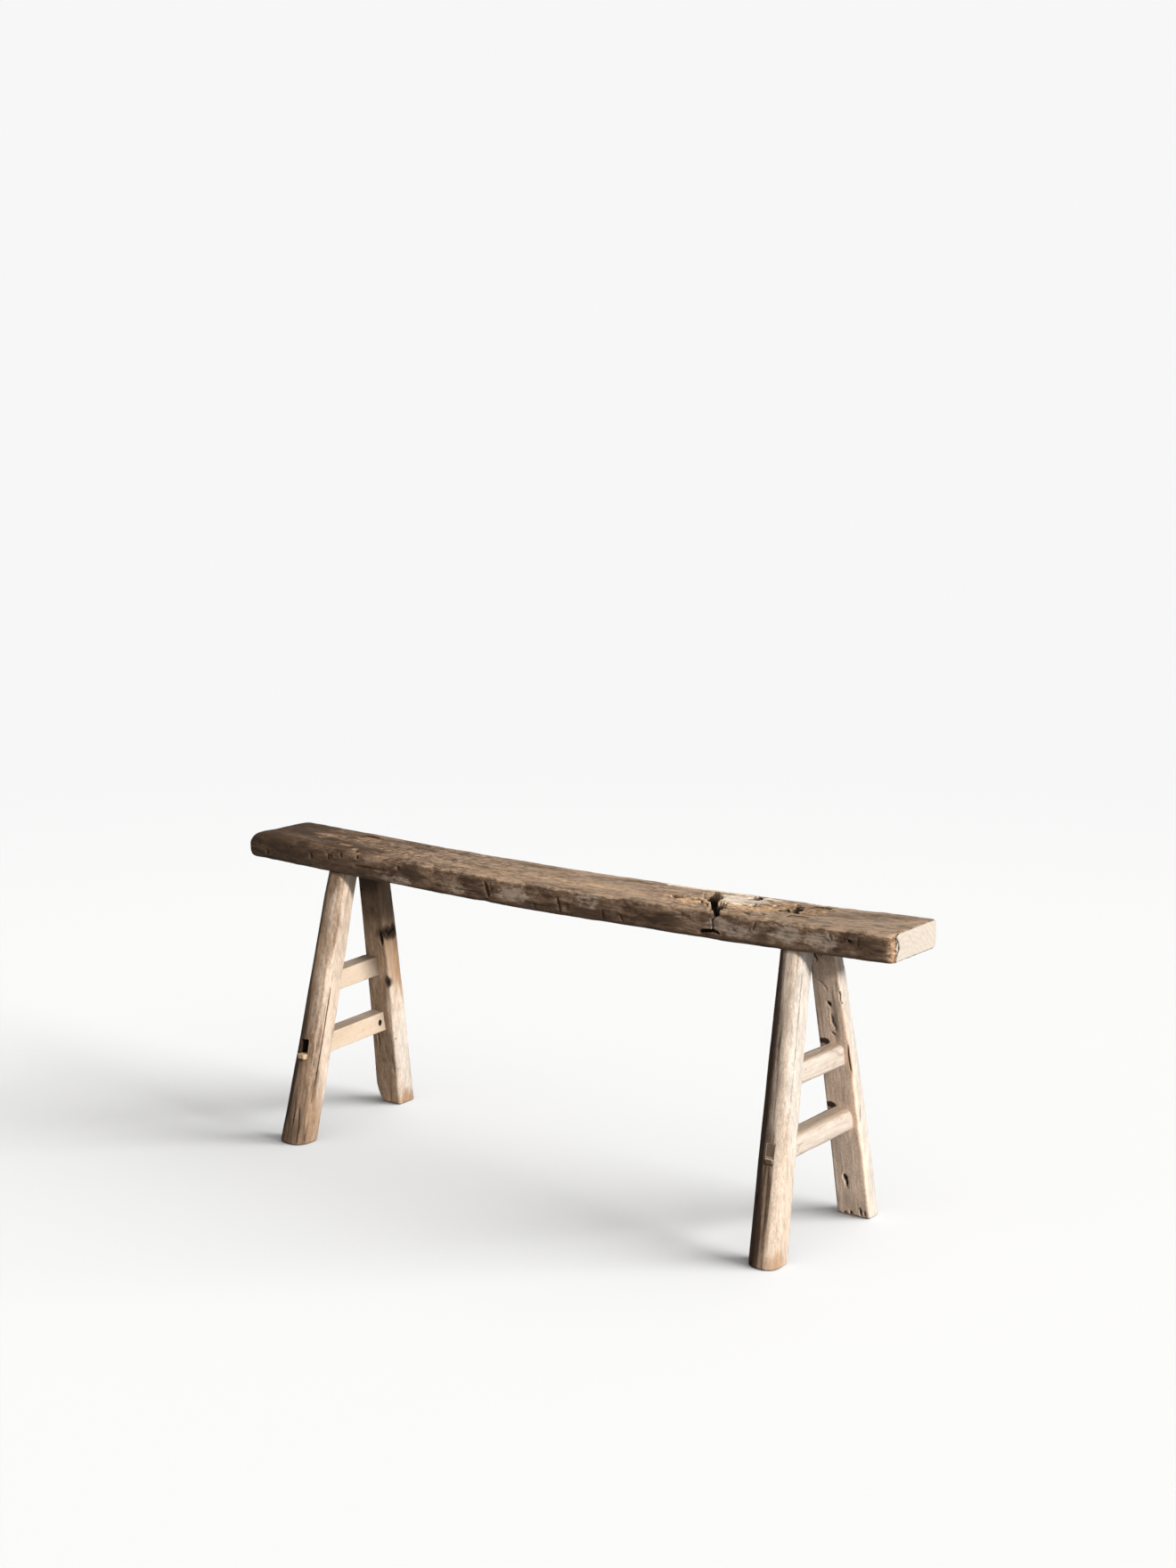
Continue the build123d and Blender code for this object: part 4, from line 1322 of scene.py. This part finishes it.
def build_world():
    """A plain pale backdrop. What lights the scene is dimmer: brightest from the right, dark from the left."""
    world = bpy.data.worlds.new("studio")
    bpy.context.scene.world = world
    world.use_nodes = True
    tree = world.node_tree

    def add(kind, **settings):
        node = tree.nodes.new(kind)
        for key, value in settings.items():
            setattr(node, key, value)
        return node

    seen = tree.nodes["Background"]
    seen.inputs["Color"].default_value = (BACKDROP, BACKDROP, BACKDROP, 1)
    direction = add("ShaderNodeTexCoord").outputs["Generated"]
    facing = add("ShaderNodeVectorMath", operation="DOT_PRODUCT")
    facing.inputs[1].default_value = Vector(SOFT_SIDE).normalized()
    tree.links.new(direction, facing.inputs[0])
    above = add("ShaderNodeMapRange", interpolation_type="SMOOTHSTEP")
    above.inputs["From Min"].default_value = -0.35
    above.inputs["From Max"].default_value = 1.0
    above.inputs["To Min"].default_value = 0.13
    above.inputs["To Max"].default_value = 0.85
    tree.links.new(facing.outputs["Value"], above.inputs["Value"])
    parts = add("ShaderNodeSeparateXYZ")
    tree.links.new(direction, parts.inputs[0])
    height = add("ShaderNodeMapRange", interpolation_type="SMOOTHSTEP")
    height.inputs["From Min"].default_value = -0.25
    height.inputs["From Max"].default_value = 0.15
    tree.links.new(parts.outputs["Z"], height.inputs["Value"])
    height.inputs["To Min"].default_value = 0.6
    level = add("ShaderNodeMath", operation="MULTIPLY")
    tree.links.new(above.outputs["Result"], level.inputs[0])
    tree.links.new(height.outputs["Result"], level.inputs[1])
    fill = add("ShaderNodeBackground")
    fill.inputs["Color"].default_value = (1.0, 0.985, 0.965, 1)
    tree.links.new(level.outputs["Value"], fill.inputs["Strength"])
    ray = add("ShaderNodeLightPath")
    blend = add("ShaderNodeMixShader")
    tree.links.new(ray.outputs["Is Camera Ray"], blend.inputs["Fac"])
    tree.links.new(fill.outputs[0], blend.inputs[1])
    tree.links.new(seen.outputs[0], blend.inputs[2])
    tree.links.new(blend.outputs[0], tree.nodes["World Output"].inputs["Surface"])


def sun(name, towards, strength, softness, colour, receivers):
    """A distant light that shines on some objects only, from a direction, softness degrees wide."""
    light = bpy.data.lights.new(name, "SUN")
    light.energy = strength
    light.angle = math.radians(softness)
    light.color = colour
    lamp = bpy.data.objects.new(name, light)
    lamp.rotation_euler = Vector(towards).to_track_quat("Z", "Y").to_euler()
    bpy.context.scene.collection.objects.link(lamp)
    lit = bpy.data.collections.new(name + "_lights")
    for thing in receivers:
        lit.objects.link(thing)
    lamp.light_linking.receiver_collection = lit


def build_lights(floor):
    """A window to the right, crisp on the wood and wide on the floor, a weak one behind, and the ceiling.

    The back left leg's window is further forward, so that the plank shades only the leg's top.
    """
    warm, white = (1.0, 0.98, 0.95), (1.0, 1.0, 1.0)
    far_leg = bpy.data.objects["leg_back_left_wood"]
    bench = [thing for thing in bpy.context.scene.objects if thing.type == "MESH" and thing is not floor]
    sun("window", (5.0, -1.1, 2.1), 4.9, 6, warm, [thing for thing in bench if thing is not far_leg])
    sun("window_on_far_leg", (5.0, -1.7, 1.75), 4.9, 6, warm, [far_leg])
    sun("window_behind", (-0.8, 3.0, 0.05), 2.8, 25, warm, bench)
    sun("window_on_floor", (5.0, 1.9, 2.1), 9.5, 50, white, [floor])
    sun("ceiling_on_floor", (1.0, 0.3, 1.6), 2.05, 95, white, [floor])


CAMERA_PLACE = (2.1337, -2.8660, 1.2701)
CAMERA_LENS = 53.3
CAMERA_TURN = 36.05
CAMERA_TILT = 10.03
CAMERA_ROLL = 0.24


def build_camera():
    data = bpy.data.cameras.new("camera")
    data.lens = CAMERA_LENS
    data.sensor_width = 36.0
    camera = bpy.data.objects.new("camera", data)
    turn = Matrix.Rotation(math.radians(CAMERA_TURN), 4, "Z")
    tilt = Matrix.Rotation(math.radians(90 - CAMERA_TILT), 4, "X")
    roll = Matrix.Rotation(math.radians(CAMERA_ROLL), 4, "Z")
    camera.matrix_world = Matrix.Translation(CAMERA_PLACE) @ turn @ tilt @ roll
    bpy.context.scene.collection.objects.link(camera)
    bpy.context.scene.camera = camera


bpy.context.scene.view_settings.view_transform = "Standard"
build_bench()
build_world()
build_lights(build_floor())
build_camera()
